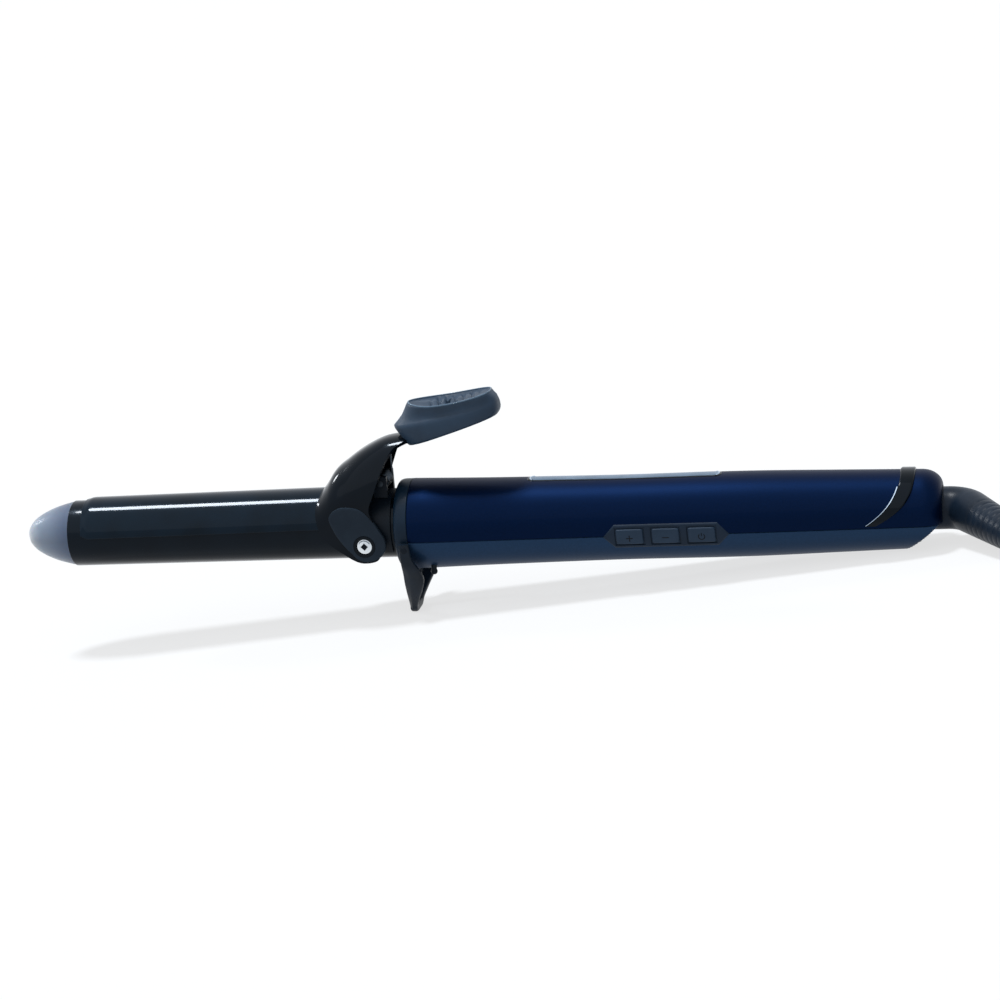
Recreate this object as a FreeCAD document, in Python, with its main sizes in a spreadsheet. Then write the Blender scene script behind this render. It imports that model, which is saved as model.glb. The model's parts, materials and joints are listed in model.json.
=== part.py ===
import FreeCAD, Part
import Sketcher
import math
import os

# A curling iron on its stand. The iron's own frame has X along the barrel's axis, with the cool tip
# at -X and the cord at +X, Z up through the thumb lever, and X = 0 at the handle's front face.
# The rest placement at the end tips that frame onto the stand foot and the handle's rear corner,
# which puts the foot's flat face at the origin on the floor, Z = 0.

SIZES = {
    # barrel
    "barrel_radius": 12.5, "barrel_wall": 1.0, "barrel_reach": 134.0, "barrel_seat": 24.0,
    "fit_gap": 0.05, "run_gap": 0.08, "body_gap": 0.35,
    "tip_length": 18.5, "tip_nose_radius": 9.0, "tip_wall": 2.0, "tip_spigot": 7.0,
    "tip_disc_thickness": 2.0,
    # heater inside the barrel
    "heater_front": 120.0, "heater_back": 35.0, "heater_half_width": 8.0, "heater_half_thick": 1.5,
    "lead_radius": 0.9, "lead_tail": 4.0, "lead_side": 4.5,
    "sensor_side": 4.2, "sensor_bead_radius": 1.2, "sensor_bead_length": 4.5,
    "sensor_lead_radius": 0.6, "fuse_radius": 2.3, "fuse_length": 10.0, "fuse_front": 2.0,
    # hinge of the clamp
    "hinge_back": 16.7, "hinge_drop": 4.0, "shoulder_radius": 1.7, "thread_radius": 1.5,
    "screw_head_radius": 3.2, "screw_head_thick": 1.0, "thread_end": 8.3, "shoulder_end": 12.0,
    "block_half": 5.5, "block_bore": 8.1,
    "saddle_front": 25.0, "saddle_back": 7.0, "saddle_wall": 0.85, "saddle_drop": 8.0,
    "lug_inside": 4.6, "lug_outside": 6.4, "lug_half": 2.6, "lug_top": 20.0,
    "spring_back": 11.0, "spring_height": 17.4, "spring_radius": 2.6, "wire_radius": 0.45,
    "spring_turns": 6.0, "spring_pitch": 1.25, "spring_leg": 13.4, "pin_radius": 1.2,
    # clamp
    "spoon_front": 128.0, "spoon_back": 27.0, "spoon_wall": 0.8, "spoon_edge": 1.2,
    "spoon_taper": 4.0, "spoon_lift": 1.1,
    "rivet_back": 31.0, "rivet_side": 5.0, "rivet_radius": 1.2, "rivet_bottom": 13.0,
    "rivet_top": 16.6,
    "ear_outside": 15.8, "ear_inside": 13.75, "ear_radius": 6.5, "recess_radius": 4.2,
    "saddle_swing": 1.85, "swing_low": 6.0, "swing_high": 12.0,
    "nose_front": 36.5, "nose_height": 13.2, "cheek_front": 33.5, "cheek_height": 1.0,
    "arch_half_top": 9.5, "arch_wall": 2.0, "arch_low": 6.0, "arch_high": 31.0, "arch_top": 34.6,
    "skirt_drop": 14.0,
    "tongue_half": 6.0, "tongue_end": 27.0, "tongue_rise": 2.0, "tongue_thick": 2.6,
    "pad_start": 32.2, "pad_slope": 0.34, "pad_length": 35.5, "pad_half": 10.0,
    "pad_top_front": 47.4, "pad_top_back": 49.9, "pad_nose": 4.5, "pad_bow_high": 2.6,
    "pad_bow_low": 7.0, "pad_bow_back": 1.2, "pad_toe_height": 4.2, "pad_heel_round": 2.4,
    "pad_flat_front": 5.0, "pad_flat_back": 8.0, "pad_widest": 12.0,
    "pad_throat_low": 30.0, "pad_throat_high": 35.2,
    # handle
    "handle_length": 196.5, "shell_wall": 2.0, "seam_drop": 3.0,
    "front_radius": 17.0, "neck_radius": 16.4, "grip_radius": 15.7, "tail_radius": 14.5,
    "neck_at": 25.0, "grip_from": 75.0, "grip_to": 130.0, "tail_at": 184.0, "tail_round": 7.5,
    "tail_cut_from": 183.7, "tail_cut_to": 195.5,
    "collar_length": 5.3, "collar_round": 3.4, "collar_spigot": 10.0,
    "band_from": 176.5, "band_to": 186.0, "band_proud": 0.8, "band_sweep": 8.0, "band_depth": 0.9,
    "boss_radius": 3.2, "screw_radius": 1.3, "screw_cap_radius": 2.7, "screw_cap_thick": 1.8,
    "front_boss_at": 36.0, "back_boss_at": 160.0, "recess_top": 9.0, "screw_reach": 8.0,
    # controls
    "window_from": 44.5, "window_to": 116.0, "window_half": 3.2, "window_depth": 2.4,
    "board_from": 46.0, "board_to": 128.0, "board_half": 11.0, "board_bottom": 3.0,
    "board_thick": 1.6, "display_from": 47.0, "display_to": 114.0, "display_half": 5.0,
    "terminal_length": 7.0, "terminal_half": 5.4, "terminal_height": 4.4,
    "post_radius": 2.6, "post_screw_radius": 1.0, "post_front": 52.0, "post_back": 124.5,
    "post_side": 8.0,
    "panel_from": 73.2, "panel_to": 120.0, "panel_half": 4.7, "panel_slant": 4.8,
    "panel_depth": 2.7, "panel_proud": 0.3,
    "button_first": 83.2, "button_pitch": 13.3, "button_half_long": 5.2, "button_half_tall": 3.2,
    "button_depth": 2.3, "button_proud": 0.6, "button_gap": 0.3,
    "switch_half": 3.0, "switch_front": 11.8, "plunger_radius": 1.5, "plunger_long": 1.2,
    "side_board_near": 9.0, "side_board_thick": 1.6, "side_board_low": 8.4,
    # stand
    "pivot_back": 1.7, "pivot_drop": 5.0, "pivot_radius": 1.5, "pivot_head_radius": 1.9,
    "pivot_head_thick": 0.8, "pivot_inner": 13.6, "arm_inside": 17.35, "arm_thick": 2.2,
    "eye_radius": 3.3, "eye_neck": 0.6, "knee_drop": 8.5, "leg_front": 4.2, "foot_drop": 33.5,
    "foot_half": 4.5, "shin_back": 0.4, "shin_drop": 28.0,
    "foot_width": 3.6, "sole_thick": 3.4, "calf_back": 3.2, "calf_drop": 22.0,
    "stop_at": 6.6, "stop_side": 9.0, "stop_radius": 1.6, "stop_drop": 17.8,
    "stop_height": 4.0,
    # cord swivel
    "socket_from": 182.0, "socket_to": 188.0, "socket_radius": 12.1, "neck_bore": 6.1,
    "flange_radius": 9.0, "flange_from": 178.3, "spindle_radius": 4.0, "spindle_from": 167.5,
    "cord_bore": 3.3, "ring_radius": 5.0, "ring_width": 1.5, "ring_first": 170.0,
    "ring_second": 174.0, "brush_half": 1.2, "brush_top": 6.4, "holder_front": 168.5,
    "holder_back": 177.0, "holder_half": 5.4, "holder_top": 11.0, "wire_height": 7.6,
    "wire_side": 4.3, "supply_radius": 0.8,
    # boot and cord
    "boot_radius": 7.8, "boot_from": 188.6, "boot_bend_at": 198.0, "boot_bend_radius": 10.0,
    "boot_turn": 57.0, "boot_dip": 4.0, "boot_end_radius": 5.6, "boot_taper_length": 42.0,
    "cord_radius": 3.25, "coil_radius": 37.0, "coil_half_width": 9.75, "coil_height": 17.8,
    "tie_wall": 0.9, "tie_width": 8.0, "tie_angle": 20.0,
    "plug_length": 34.0, "plug_half_width": 17.5, "plug_half_thick": 7.0, "plug_waist": 6.5,
    "prong_radius": 2.0, "prong_length": 19.0, "prong_half_spacing": 9.5,
    "plug_boot_length": 16.0, "plug_boot_tip": 4.3, "plug_boot_base": 5.8,
}

# Corners of the lever seen from the side, (X, Z): its rear edge upwards, its crest forwards, and
# the rooms that are hollowed out of it for the hinge and for the finger's reach under the arch.
LEVER_REAR = [(-11.2, 3.2), (-14.2, 8.2), (-12.4, 14.0), (-9.0, 22.0), (-5.5, 29.0)]
LEVER_CREST = [(-8.4, 34.2), (-14.9, 31.2), (-23.0, 26.4), (-29.3, 21.4), (-32.2, 17.9)]
LOW_ROOM = [(-30.5, 8.0), (0.0, 8.0), (-6.0, 22.0), (-24.5, 22.0)]
HIGH_ROOM = [(-24.6, 21.8), (2.0, 21.8), (2.0, 31.2), (-11.0, 31.2), (-17.5, 27.4)]

DOC = FreeCAD.newDocument("curling_iron")
SHEET = DOC.addObject("Spreadsheet::Sheet", "Sizes")
for row, (alias, number) in enumerate(SIZES.items(), start=1):
    SHEET.set(f"A{row}", alias)
    SHEET.set(f"B{row}", str(number))
    SHEET.setAlias(f"B{row}", alias)
DOC.recompute()


class Size:
    """A number together with the expression on the sheet that gives it."""

    def __init__(self, value, text):
        self.value = float(value)
        self.text = text

    def __add__(self, other):
        other = as_size(other)
        return Size(self.value + other.value, f"({self.text} + {other.text})")

    def __sub__(self, other):
        other = as_size(other)
        return Size(self.value - other.value, f"({self.text} - {other.text})")

    def __rsub__(self, other):
        return as_size(other) - self

    def __mul__(self, other):
        other = as_size(other)
        return Size(self.value * other.value, f"({self.text} * {other.text})")

    def __truediv__(self, other):
        other = as_size(other)
        return Size(self.value / other.value, f"({self.text} / {other.text})")

    def __neg__(self):
        return Size(-self.value, f"(-1 * {self.text})")

    def square(self):
        return self * self

    __radd__ = __add__
    __rmul__ = __mul__


def as_size(number):
    return number if isinstance(number, Size) else Size(number, repr(float(number)))


class Sheet:
    """Every alias of the sheet as a Size."""

    def __init__(self):
        for alias in SIZES:
            setattr(self, alias, Size(getattr(SHEET, alias), f"Sizes.{alias}"))


s = Sheet()
PIECES = {}


def origin_plane(body, role):
    return next(item for item in body.Origin.OriginFeatures if item.Role == role)


def arc_between(start, end, radius, side):
    """The shorter arc from start to end, its centre on the left of the way for side 1."""
    chord = end - start
    half = chord.Length / 2
    rise = math.sqrt(max(radius * radius - half * half, 0.0))
    left = FreeCAD.Vector(-chord.y, chord.x, 0).normalize() * side
    centre = (start + end) * 0.5 + left * rise
    middle = centre + ((start + end) * 0.5 - centre).normalize() * radius
    if rise < 1e-9:
        middle = (start + end) * 0.5 - left * radius
    return Part.Arc(start, middle, end)


class Piece:
    """One sub-part as a PartDesign body: sketches on its origin planes, pads, pockets and spins.

    A corner of an outline is (across, up), or (across, up, radius, side) where an arc of that
    radius leads on from it to the next corner.
    """

    def __init__(self, name):
        self.body = DOC.addObject("PartDesign::Body", name)
        self.body.Label = name
        self.body.AllowCompound = True
        PIECES[name] = self.body

    def sketch(self, role, lift):
        drawing = self.body.newObject("Sketcher::SketchObject", f"{self.body.Label}_sketch")
        drawing.AttachmentSupport = [(origin_plane(self.body, role), "")]
        drawing.MapMode = "FlatFace"
        drawing.setExpression("AttachmentOffset.Base.z", as_size(lift).text)
        return drawing

    def outline(self, role, *loops, lift=0):
        drawing = self.sketch(role, lift)
        for loop in loops:
            add_loop(drawing, loop)
        return drawing

    def circles(self, role, centres, radius, lift=0):
        drawing = self.sketch(role, lift)
        for across, up in centres:
            add_circle(drawing, as_size(across), as_size(up), as_size(radius))
        return drawing

    def feature(self, kind, drawing):
        made = self.body.newObject(f"PartDesign::{kind}", f"{self.body.Label}_{kind}")
        made.Profile = drawing
        return made

    def pad(self, drawing, length):
        """Adds material evenly to both sides of the sketch's plane."""
        made = self.feature("Pad", drawing)
        made.Midplane = True
        made.setExpression("Length", as_size(length).text)

    def cut(self, drawing, length):
        """Takes material away evenly on both sides of the sketch's plane."""
        made = self.feature("Pocket", drawing)
        made.Midplane = True
        made.setExpression("Length", as_size(length).text)

    def spin(self, drawing):
        made = self.feature("Revolution", drawing)
        made.ReferenceAxis = (drawing, ["H_Axis"])

    def groove(self, drawing):
        made = self.feature("Groove", drawing)
        made.ReferenceAxis = (drawing, ["H_Axis"])


def place_point(drawing, shape_index, point_index, across, up):
    for kind, size in (("DistanceX", across), ("DistanceY", up)):
        rule = Sketcher.Constraint(kind, -1, 1, shape_index, point_index, size.value)
        number = drawing.addConstraint(rule)
        drawing.setExpression(f"Constraints[{number}]", size.text)


def add_loop(drawing, corners):
    """A closed loop, every corner and arc radius tied to the sheet."""
    first = drawing.GeometryCount
    spots = [(as_size(c[0]), as_size(c[1])) for c in corners]
    points = [FreeCAD.Vector(across.value, up.value, 0) for across, up in spots]
    count = len(corners)
    starts = []
    for i, corner in enumerate(corners):
        here, following = points[i], points[(i + 1) % count]
        if len(corner) == 4:
            arc = arc_between(here, following, as_size(corner[2]).value, corner[3])
            drawing.addGeometry(arc)
            turned = (drawing.getPoint(first + i, 1) - here).Length > 1e-6
            starts.append(2 if turned else 1)
        else:
            drawing.addGeometry(Part.LineSegment(here, following))
            starts.append(1)
    for i in range(count):
        following = (i + 1) % count
        end = 3 - starts[i]
        rule = Sketcher.Constraint("Coincident", first + i, end, first + following,
                                   starts[following])
        drawing.addConstraint(rule)
    for i, (across, up) in enumerate(spots):
        place_point(drawing, first + i, starts[i], across, up)
    for i, corner in enumerate(corners):
        if len(corner) == 4:
            radius = as_size(corner[2])
            number = drawing.addConstraint(Sketcher.Constraint("Radius", first + i, radius.value))
            drawing.setExpression(f"Constraints[{number}]", radius.text)


def add_circle(drawing, across, up, radius):
    centre = FreeCAD.Vector(across.value, up.value, 0)
    number = drawing.addGeometry(Part.Circle(centre, FreeCAD.Vector(0, 0, 1), radius.value))
    place_point(drawing, number, 3, across, up)
    rule = drawing.addConstraint(Sketcher.Constraint("Radius", number, radius.value))
    drawing.setExpression(f"Constraints[{rule}]", radius.text)


def box_loop(left, right, low, high):
    return [(left, low), (right, low), (right, high), (left, high)]


def tube(name, x_from, x_to, outer, inner=0):
    """A plain turned piece on the X axis, hollow where inner is given."""
    piece = Piece(name)
    piece.spin(piece.outline("XZ_Plane", box_loop(x_from, x_to, inner, outer)))
    return piece


def bar(name, role, loop, low, high):
    """A straight piece: the loop carried along the plane's normal from low to high."""
    piece = Piece(name)
    piece.pad(piece.outline(role, loop, lift=(as_size(low) + high) / 2), as_size(high) - low)
    return piece


def far(extra=0):
    """A length that passes right through the iron, for cuts."""
    return s.handle_length * 2 + extra


# ---------------------------------------------------------------- barrel and heater

def make_barrel():
    bore = s.barrel_radius - s.barrel_wall
    barrel = tube("barrel_tube", -s.barrel_reach, s.barrel_seat, s.barrel_radius, bore)
    hole = barrel.circles("XZ_Plane", [(-s.hinge_back, -s.hinge_drop)],
                          s.shoulder_radius + s.fit_gap)
    barrel.cut(hole, s.barrel_radius * 3)
    tube("tip_disc", -s.barrel_reach + s.tip_spigot,
         -s.barrel_reach + s.tip_spigot + s.tip_disc_thickness, bore - s.fit_gap)


def make_tip():
    """A hollow dome of two tangent arcs with a spigot that plugs the barrel's front end."""
    base, length = s.barrel_radius - s.fit_gap * 2, s.tip_length
    nose = s.tip_nose_radius
    flank = (Size.square(length - nose) + Size.square(base) - Size.square(nose)) / (
        (base - nose) * 2)
    lean = nose / (flank - nose)
    wall, start = s.tip_wall, -s.barrel_reach
    bore = base - wall
    outer = (start - length + nose - (length - nose) * lean, (flank - base) * lean)
    shrink = (nose - wall) / nose
    inner = (start - length + nose - (length - nose) * lean * shrink, outer[1] * shrink)
    spigot = s.barrel_radius - s.barrel_wall - s.fit_gap
    cap = Piece("cool_tip")
    cap.spin(cap.outline("XZ_Plane", [
        (start, base, flank, 1), (*outer, nose, 1), (start - length, 0),
        (start - length + wall, 0, nose - wall, -1), (*inner, flank - wall, -1), (start, bore),
        (start + s.tip_spigot, bore), (start + s.tip_spigot, spigot), (start, spigot)]))


def make_heater():
    bar("heater_plate", "XY_Plane",
        box_loop(-s.heater_front, -s.heater_back, -s.heater_half_width, s.heater_half_width),
        -s.heater_half_thick, s.heater_half_thick)
    shoe_radius = s.barrel_radius - s.barrel_wall - s.fit_gap
    for name, side in (("heater_shoe_upper", 1), ("heater_shoe_lower", -1)):
        shoe = tube(name, -s.heater_front, -s.heater_back, shoe_radius)
        edges = sorted((s.heater_half_thick * side, s.barrel_radius * -2 * side),
                       key=lambda edge: edge.value)
        away = box_loop(-s.barrel_radius * 2, s.barrel_radius * 2, *edges)
        shoe.cut(shoe.outline("YZ_Plane", away), far())


def make_wiring():
    """Leads from the heater and its sensor through the handle to the control board."""
    board_top = s.board_bottom + s.board_thick
    wire_z, sensor_z = board_top + s.lead_radius, s.board_bottom - s.sensor_lead_radius
    run_end = s.board_from + s.lead_tail
    length = run_end + s.heater_back
    middle = (run_end - s.heater_back) / 2
    leads = Piece("heater_leads")
    spots = [(-s.lead_side, wire_z), (s.lead_side, wire_z)]
    leads.pad(leads.circles("YZ_Plane", spots, s.lead_radius, lift=middle), length)
    sensor = Piece("temperature_sensor")
    spot = [(s.sensor_side, sensor_z)]
    bead = sensor.circles("YZ_Plane", spot, s.sensor_bead_radius,
                          lift=-s.heater_back + s.sensor_bead_length / 2)
    sensor.pad(bead, s.sensor_bead_length)
    sensor.pad(sensor.circles("YZ_Plane", spot, s.sensor_lead_radius, lift=middle), length)
    fuse = Piece("thermal_fuse")
    middle = s.fuse_front + s.fuse_length / 2
    spot = [(s.lead_side, wire_z)]
    fuse.pad(fuse.circles("YZ_Plane", spot, s.fuse_radius, lift=middle), s.fuse_length)
    fuse.cut(fuse.circles("YZ_Plane", spot, s.lead_radius + s.fit_gap, lift=middle),
             s.fuse_length * 2)


# ---------------------------------------------------------------- hinge of the clamp

def make_hinge():
    hinge = [(-s.hinge_back, -s.hinge_drop)]
    block = tube("hinge_block", -s.hinge_back - s.block_half, -s.hinge_back + s.block_half,
                 s.barrel_radius - s.barrel_wall - s.fit_gap, s.block_bore)
    block.cut(block.circles("XZ_Plane", hinge, s.thread_radius + s.fit_gap), s.barrel_radius * 3)
    inner = s.barrel_radius + s.fit_gap
    saddle = tube("hinge_saddle", -s.saddle_front, -s.saddle_back, inner + s.saddle_wall, inner)
    for side in (-1, 1):
        middle = (s.lug_inside + s.lug_outside) / 2 * side
        lug = box_loop(-s.spring_back - s.lug_half, -s.spring_back + s.lug_half,
                       s.barrel_radius - s.saddle_wall * 0.5, s.lug_top)
        saddle.pad(saddle.outline("XZ_Plane", lug, lift=middle), s.lug_outside - s.lug_inside)
    wide = s.barrel_radius * 2
    saddle.cut(saddle.outline("YZ_Plane", box_loop(-wide, wide, -wide, -s.saddle_drop)), far())
    saddle.cut(saddle.circles("YZ_Plane", [(0, 0)], inner), far())
    saddle.cut(saddle.circles("XZ_Plane", hinge, s.shoulder_radius + s.fit_gap), wide * 2)
    pin_spot = [(-s.spring_back, s.spring_height)]
    saddle.cut(saddle.circles("XZ_Plane", pin_spot, s.pin_radius + s.fit_gap), wide * 2)
    pin = Piece("spring_pin")
    pin.pad(pin.circles("XZ_Plane", pin_spot, s.pin_radius), s.lug_outside * 2)
    screws = Piece("hinge_screws")
    head_inside = s.ear_outside - s.screw_head_thick - s.run_gap
    steps = ((s.thread_end, s.shoulder_end, s.thread_radius),
             (s.shoulder_end, head_inside, s.shoulder_radius),
             (head_inside, head_inside + s.screw_head_thick, s.screw_head_radius))
    for side in (-1, 1):
        for start, end, radius in steps:
            disc = screws.circles("XZ_Plane", hinge, radius, lift=(start + end) / 2 * side)
            screws.pad(disc, end - start)


def make_spring():
    """A torsion spring on its pin, one leg on the saddle and one up to the lever."""
    pitch, turns, radius = s.spring_pitch.value, s.spring_turns.value, s.spring_radius.value
    wire = s.wire_radius.value
    helix = Part.makeHelix(pitch, pitch * turns, radius)
    profile = Part.Wire(Part.Circle(FreeCAD.Vector(radius, 0, 0), FreeCAD.Vector(0, 1, 0),
                                    wire).toShape())
    coil = Part.Wire(helix.Edges).makePipeShell([profile], True, True)
    coil.translate(FreeCAD.Vector(0, 0, -pitch * turns / 2))
    coil.rotate(FreeCAD.Vector(0, 0, 0), FreeCAD.Vector(1, 0, 0), 90)
    coil.translate(FreeCAD.Vector(-s.spring_back.value, 0, s.spring_height.value))
    side = pitch * turns / 2
    top = s.spring_height.value + s.spring_leg.value
    start = FreeCAD.Vector(-s.spring_back.value + radius, side, s.spring_height.value)
    upper = Part.makeCylinder(wire, top - start.z, start, FreeCAD.Vector(0, 0, 1))
    low = FreeCAD.Vector(-s.spring_back.value + radius, -side, s.spring_height.value)
    lower = Part.makeCylinder(wire, radius + wire, low, FreeCAD.Vector(0, 0, -1))
    spring = DOC.addObject("Part::Feature", "clamp_spring")
    spring.Shape = coil.fuse([upper, lower])
    PIECES["clamp_spring"] = spring


# ---------------------------------------------------------------- clamp

def make_spoon():
    inner = s.barrel_radius + s.body_gap
    outer = inner + s.spoon_wall
    spoon = Piece("clamp_spoon")
    spoon.spin(spoon.outline("XZ_Plane", [
        (-s.spoon_front, inner), (-s.spoon_back, inner), (-s.spoon_back, outer),
        (-s.spoon_front + s.spoon_taper, outer), (-s.spoon_front, inner + s.spoon_wall / 3)]))
    wide = s.barrel_radius * 2
    spoon.cut(spoon.outline("YZ_Plane", box_loop(-wide, wide, -wide, s.spoon_edge)), far())
    rivets = Piece("spoon_rivets")
    spots = [(-s.rivet_back, -s.rivet_side), (-s.rivet_back, s.rivet_side)]
    rivets.pad(rivets.circles("XY_Plane", spots, s.rivet_radius,
                              lift=(s.rivet_bottom + s.rivet_top) / 2),
               s.rivet_top - s.rivet_bottom)


def pad_bottom(x):
    """Height of the thumb pad's underside."""
    return s.pad_start + s.pad_slope * x


def tongue_loop(grow):
    """The lever's tongue inside the thumb pad, larger all round by grow."""
    low = s.tongue_rise - grow
    high = s.tongue_rise + s.tongue_thick + grow
    end = s.tongue_end + grow
    start = -s.pad_nose * 0.5
    return [(start, pad_bottom(start) + low), (end, pad_bottom(end) + low),
            (end, pad_bottom(end) + high), (start, pad_bottom(start) + high)]


def make_lever():
    """An arched lever: two cheeks with ears on the hinge, a crown between and a tongue behind."""
    lever = Piece("clamp_lever")
    back, drop, ear = s.hinge_back, s.hinge_drop, s.ear_radius
    tongue_low, _, _, tongue_high = tongue_loop(0)
    side = [(-s.nose_front, s.nose_height), (-s.cheek_front, s.cheek_height),
            (-back - ear * 0.8, -drop - ear * 0.6), (-back, -drop - ear, ear, 1),
            (-back + ear, -drop), *LEVER_REAR, tongue_low, tongue_high, *LEVER_CREST]
    lever.pad(lever.outline("XZ_Plane", side), s.ear_outside * 2)
    lever.pad(lever.outline("XZ_Plane", tongue_loop(0)), s.tongue_half * 2)
    high, wide = s.pad_top_back + s.body_gap, s.ear_outside * 1.25
    half = [(s.ear_outside, -s.skirt_drop), (s.ear_outside, s.arch_low),
            (s.arch_half_top, s.arch_high), (s.arch_half_top, s.arch_top),
            (s.tongue_half, s.arch_top), (s.tongue_half, high)]
    keep = half + [(-across, up) for across, up in reversed(half)]
    around = box_loop(-wide, wide, -s.skirt_drop - 2, high + 2)
    lever.cut(lever.outline("YZ_Plane", around, keep), far())
    lever.cut(lever.circles("YZ_Plane", [(0, 0)], s.ear_inside), far())
    below = -s.skirt_drop - 2
    slab = box_loop(-s.ear_inside, s.ear_inside, below, 0)
    lever.cut(lever.outline("YZ_Plane", slab), far())
    lever.cut(lever.circles("YZ_Plane", [(0, s.spoon_lift)], s.ear_inside,
                            lift=-s.nose_front), (s.nose_front - s.saddle_front) * 2)
    inside, room_end = s.ear_inside, s.saddle_front + s.body_gap
    narrow = inside - s.saddle_swing
    room = lever.outline("YZ_Plane", [
        (-inside, below), (inside, below), (inside, s.swing_low), (narrow, s.swing_high),
        (-narrow, s.swing_high), (-inside, s.swing_low)], lift=(far() - room_end) / 2)
    lever.cut(room, far() + room_end)
    lever.cut(lever.outline("XZ_Plane", LOW_ROOM), (s.ear_inside - s.arch_wall) * 2)
    lever.cut(lever.outline("XZ_Plane", HIGH_ROOM), (s.arch_half_top - s.arch_wall) * 2)
    hinge = [(-back, -drop)]
    lever.cut(lever.circles("XZ_Plane", hinge, s.shoulder_radius + s.run_gap), wide * 2)
    recess = s.screw_head_thick + s.run_gap * 2
    for sign in (-1, 1):
        ring = lever.circles("XZ_Plane", hinge, s.recess_radius,
                             lift=(s.ear_outside - recess / 2 + s.fit_gap) * sign)
        lever.cut(ring, recess + s.fit_gap * 2)


def make_pad():
    """The rubber thumb pad, a shoe over the lever's tongue."""
    pad = Piece("thumb_pad")
    length, half, nose = s.pad_length, s.pad_half, s.pad_nose
    front_top, back_top = s.pad_top_front, s.pad_top_back
    side = [(0, pad_bottom(0)), (length, pad_bottom(length)),
            (length, back_top - s.pad_heel_round), (length - s.pad_heel_round, back_top),
            (length - s.pad_flat_back, back_top), (s.pad_flat_front, front_top), (0, front_top),
            (-nose + s.pad_bow_back, front_top - s.pad_bow_high),
            (-nose, front_top - s.pad_bow_low), (-nose, pad_bottom(0) + s.pad_toe_height)]
    pad.pad(pad.outline("XZ_Plane", side), half * 2)
    edge = [(-nose * 1.02, half * -0.55), (0, half * -0.95), (s.pad_widest, -half),
            (length - s.pad_flat_back, half * -0.9), (length * 1.01, half * -0.45)]
    plan = edge + [(x, -y) for x, y in reversed(edge)]
    around = box_loop(-nose * 3, length * 1.5, half * -2, half * 2)
    pad.cut(pad.outline("XY_Plane", around, plan), far())
    slot = tongue_loop(s.fit_gap)
    pad.cut(pad.outline("XZ_Plane", slot), (s.tongue_half + s.fit_gap) * 2)
    front = [(-nose * 2, pad_bottom(-nose * 2)), (-nose * 0.4, s.pad_throat_low),
             slot[3], (-nose * 2, s.pad_throat_high)]
    pad.cut(pad.outline("XZ_Plane", front), (s.arch_half_top + s.fit_gap) * 2)


# ---------------------------------------------------------------- handle shells and trim

def handle_outline(front):
    """Half section of the handle's wall from its front end to the hole for the boot."""
    hole = s.boot_radius + s.body_gap
    wall = s.shell_wall
    outer = [(front, s.front_radius), (s.neck_at, s.neck_radius), (s.grip_from, s.grip_radius),
             (s.grip_to, s.grip_radius), (s.tail_at, s.tail_radius)]
    corner = (s.handle_length - s.tail_round + 1, s.tail_radius - 0.1, s.tail_round, -1)
    tail = [corner, (s.handle_length, hole + 0.8), (s.handle_length, hole),
            (s.handle_length - wall, hole), (s.handle_length - s.tail_round, s.tail_radius - wall)]
    inner = [(x, radius - wall) for x, radius in reversed(outer)]
    return outer + tail + inner


def half_shell(name, side):
    """The handle's wall above (side 1) or below (side -1) the seam."""
    shell = Piece(name)
    shell.spin(shell.outline("XZ_Plane", handle_outline(as_size(0))))
    wide = s.front_radius * 2
    edges = sorted((-s.seam_drop, wide * -side), key=lambda edge: edge.value)
    shell.cut(shell.outline("YZ_Plane", box_loop(-wide, wide, *edges)), far(300))
    return shell


def panel_loop(shrink):
    """The elongated hexagon of the button panel, seen from the side."""
    middle = -s.seam_drop
    half = s.panel_half - shrink
    left, right = s.panel_from + shrink, s.panel_to - shrink
    return [(left, middle), (left + s.panel_slant, middle - half),
            (right - s.panel_slant, middle - half), (right, middle),
            (right - s.panel_slant, middle + half), (left + s.panel_slant, middle + half)]


def cut_panel_opening(shell):
    opening = shell.outline("XZ_Plane", panel_loop(-s.fit_gap), lift=s.grip_radius)
    shell.cut(opening, s.grip_radius)


def screw_spots():
    return [(s.front_boss_at, 0), (s.back_boss_at, 0)]


def make_upper_shell():
    shell = half_shell("handle_shell_upper", 1)
    boss_low = -s.seam_drop
    for spot, radius in zip(screw_spots(), (s.neck_radius, s.tail_radius)):
        boss_top = radius - s.shell_wall / 2
        boss = shell.circles("XY_Plane", [spot], s.boss_radius, lift=(boss_top + boss_low) / 2)
        shell.pad(boss, boss_top - boss_low)
    pilot = s.screw_reach
    shell.cut(shell.circles("XY_Plane", screw_spots(), s.screw_radius + s.fit_gap,
                            lift=boss_low), pilot * 2)
    post_low = s.board_bottom + s.board_thick
    post_top = s.grip_radius - s.shell_wall * 2.25
    spots = [(s.post_front, s.post_side), (s.post_back, -s.post_side)]
    shell.pad(shell.circles("XY_Plane", spots, s.post_radius, lift=(post_low + post_top) / 2),
              post_top - post_low)
    shell.cut(shell.circles("XY_Plane", spots, s.post_screw_radius + s.fit_gap, lift=post_low),
              s.window_depth * 4)
    window = box_loop(s.window_from, s.window_to, -s.window_half, s.window_half)
    shell.cut(shell.outline("XY_Plane", window, lift=s.grip_radius), s.grip_radius)
    cut_panel_opening(shell)


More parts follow.
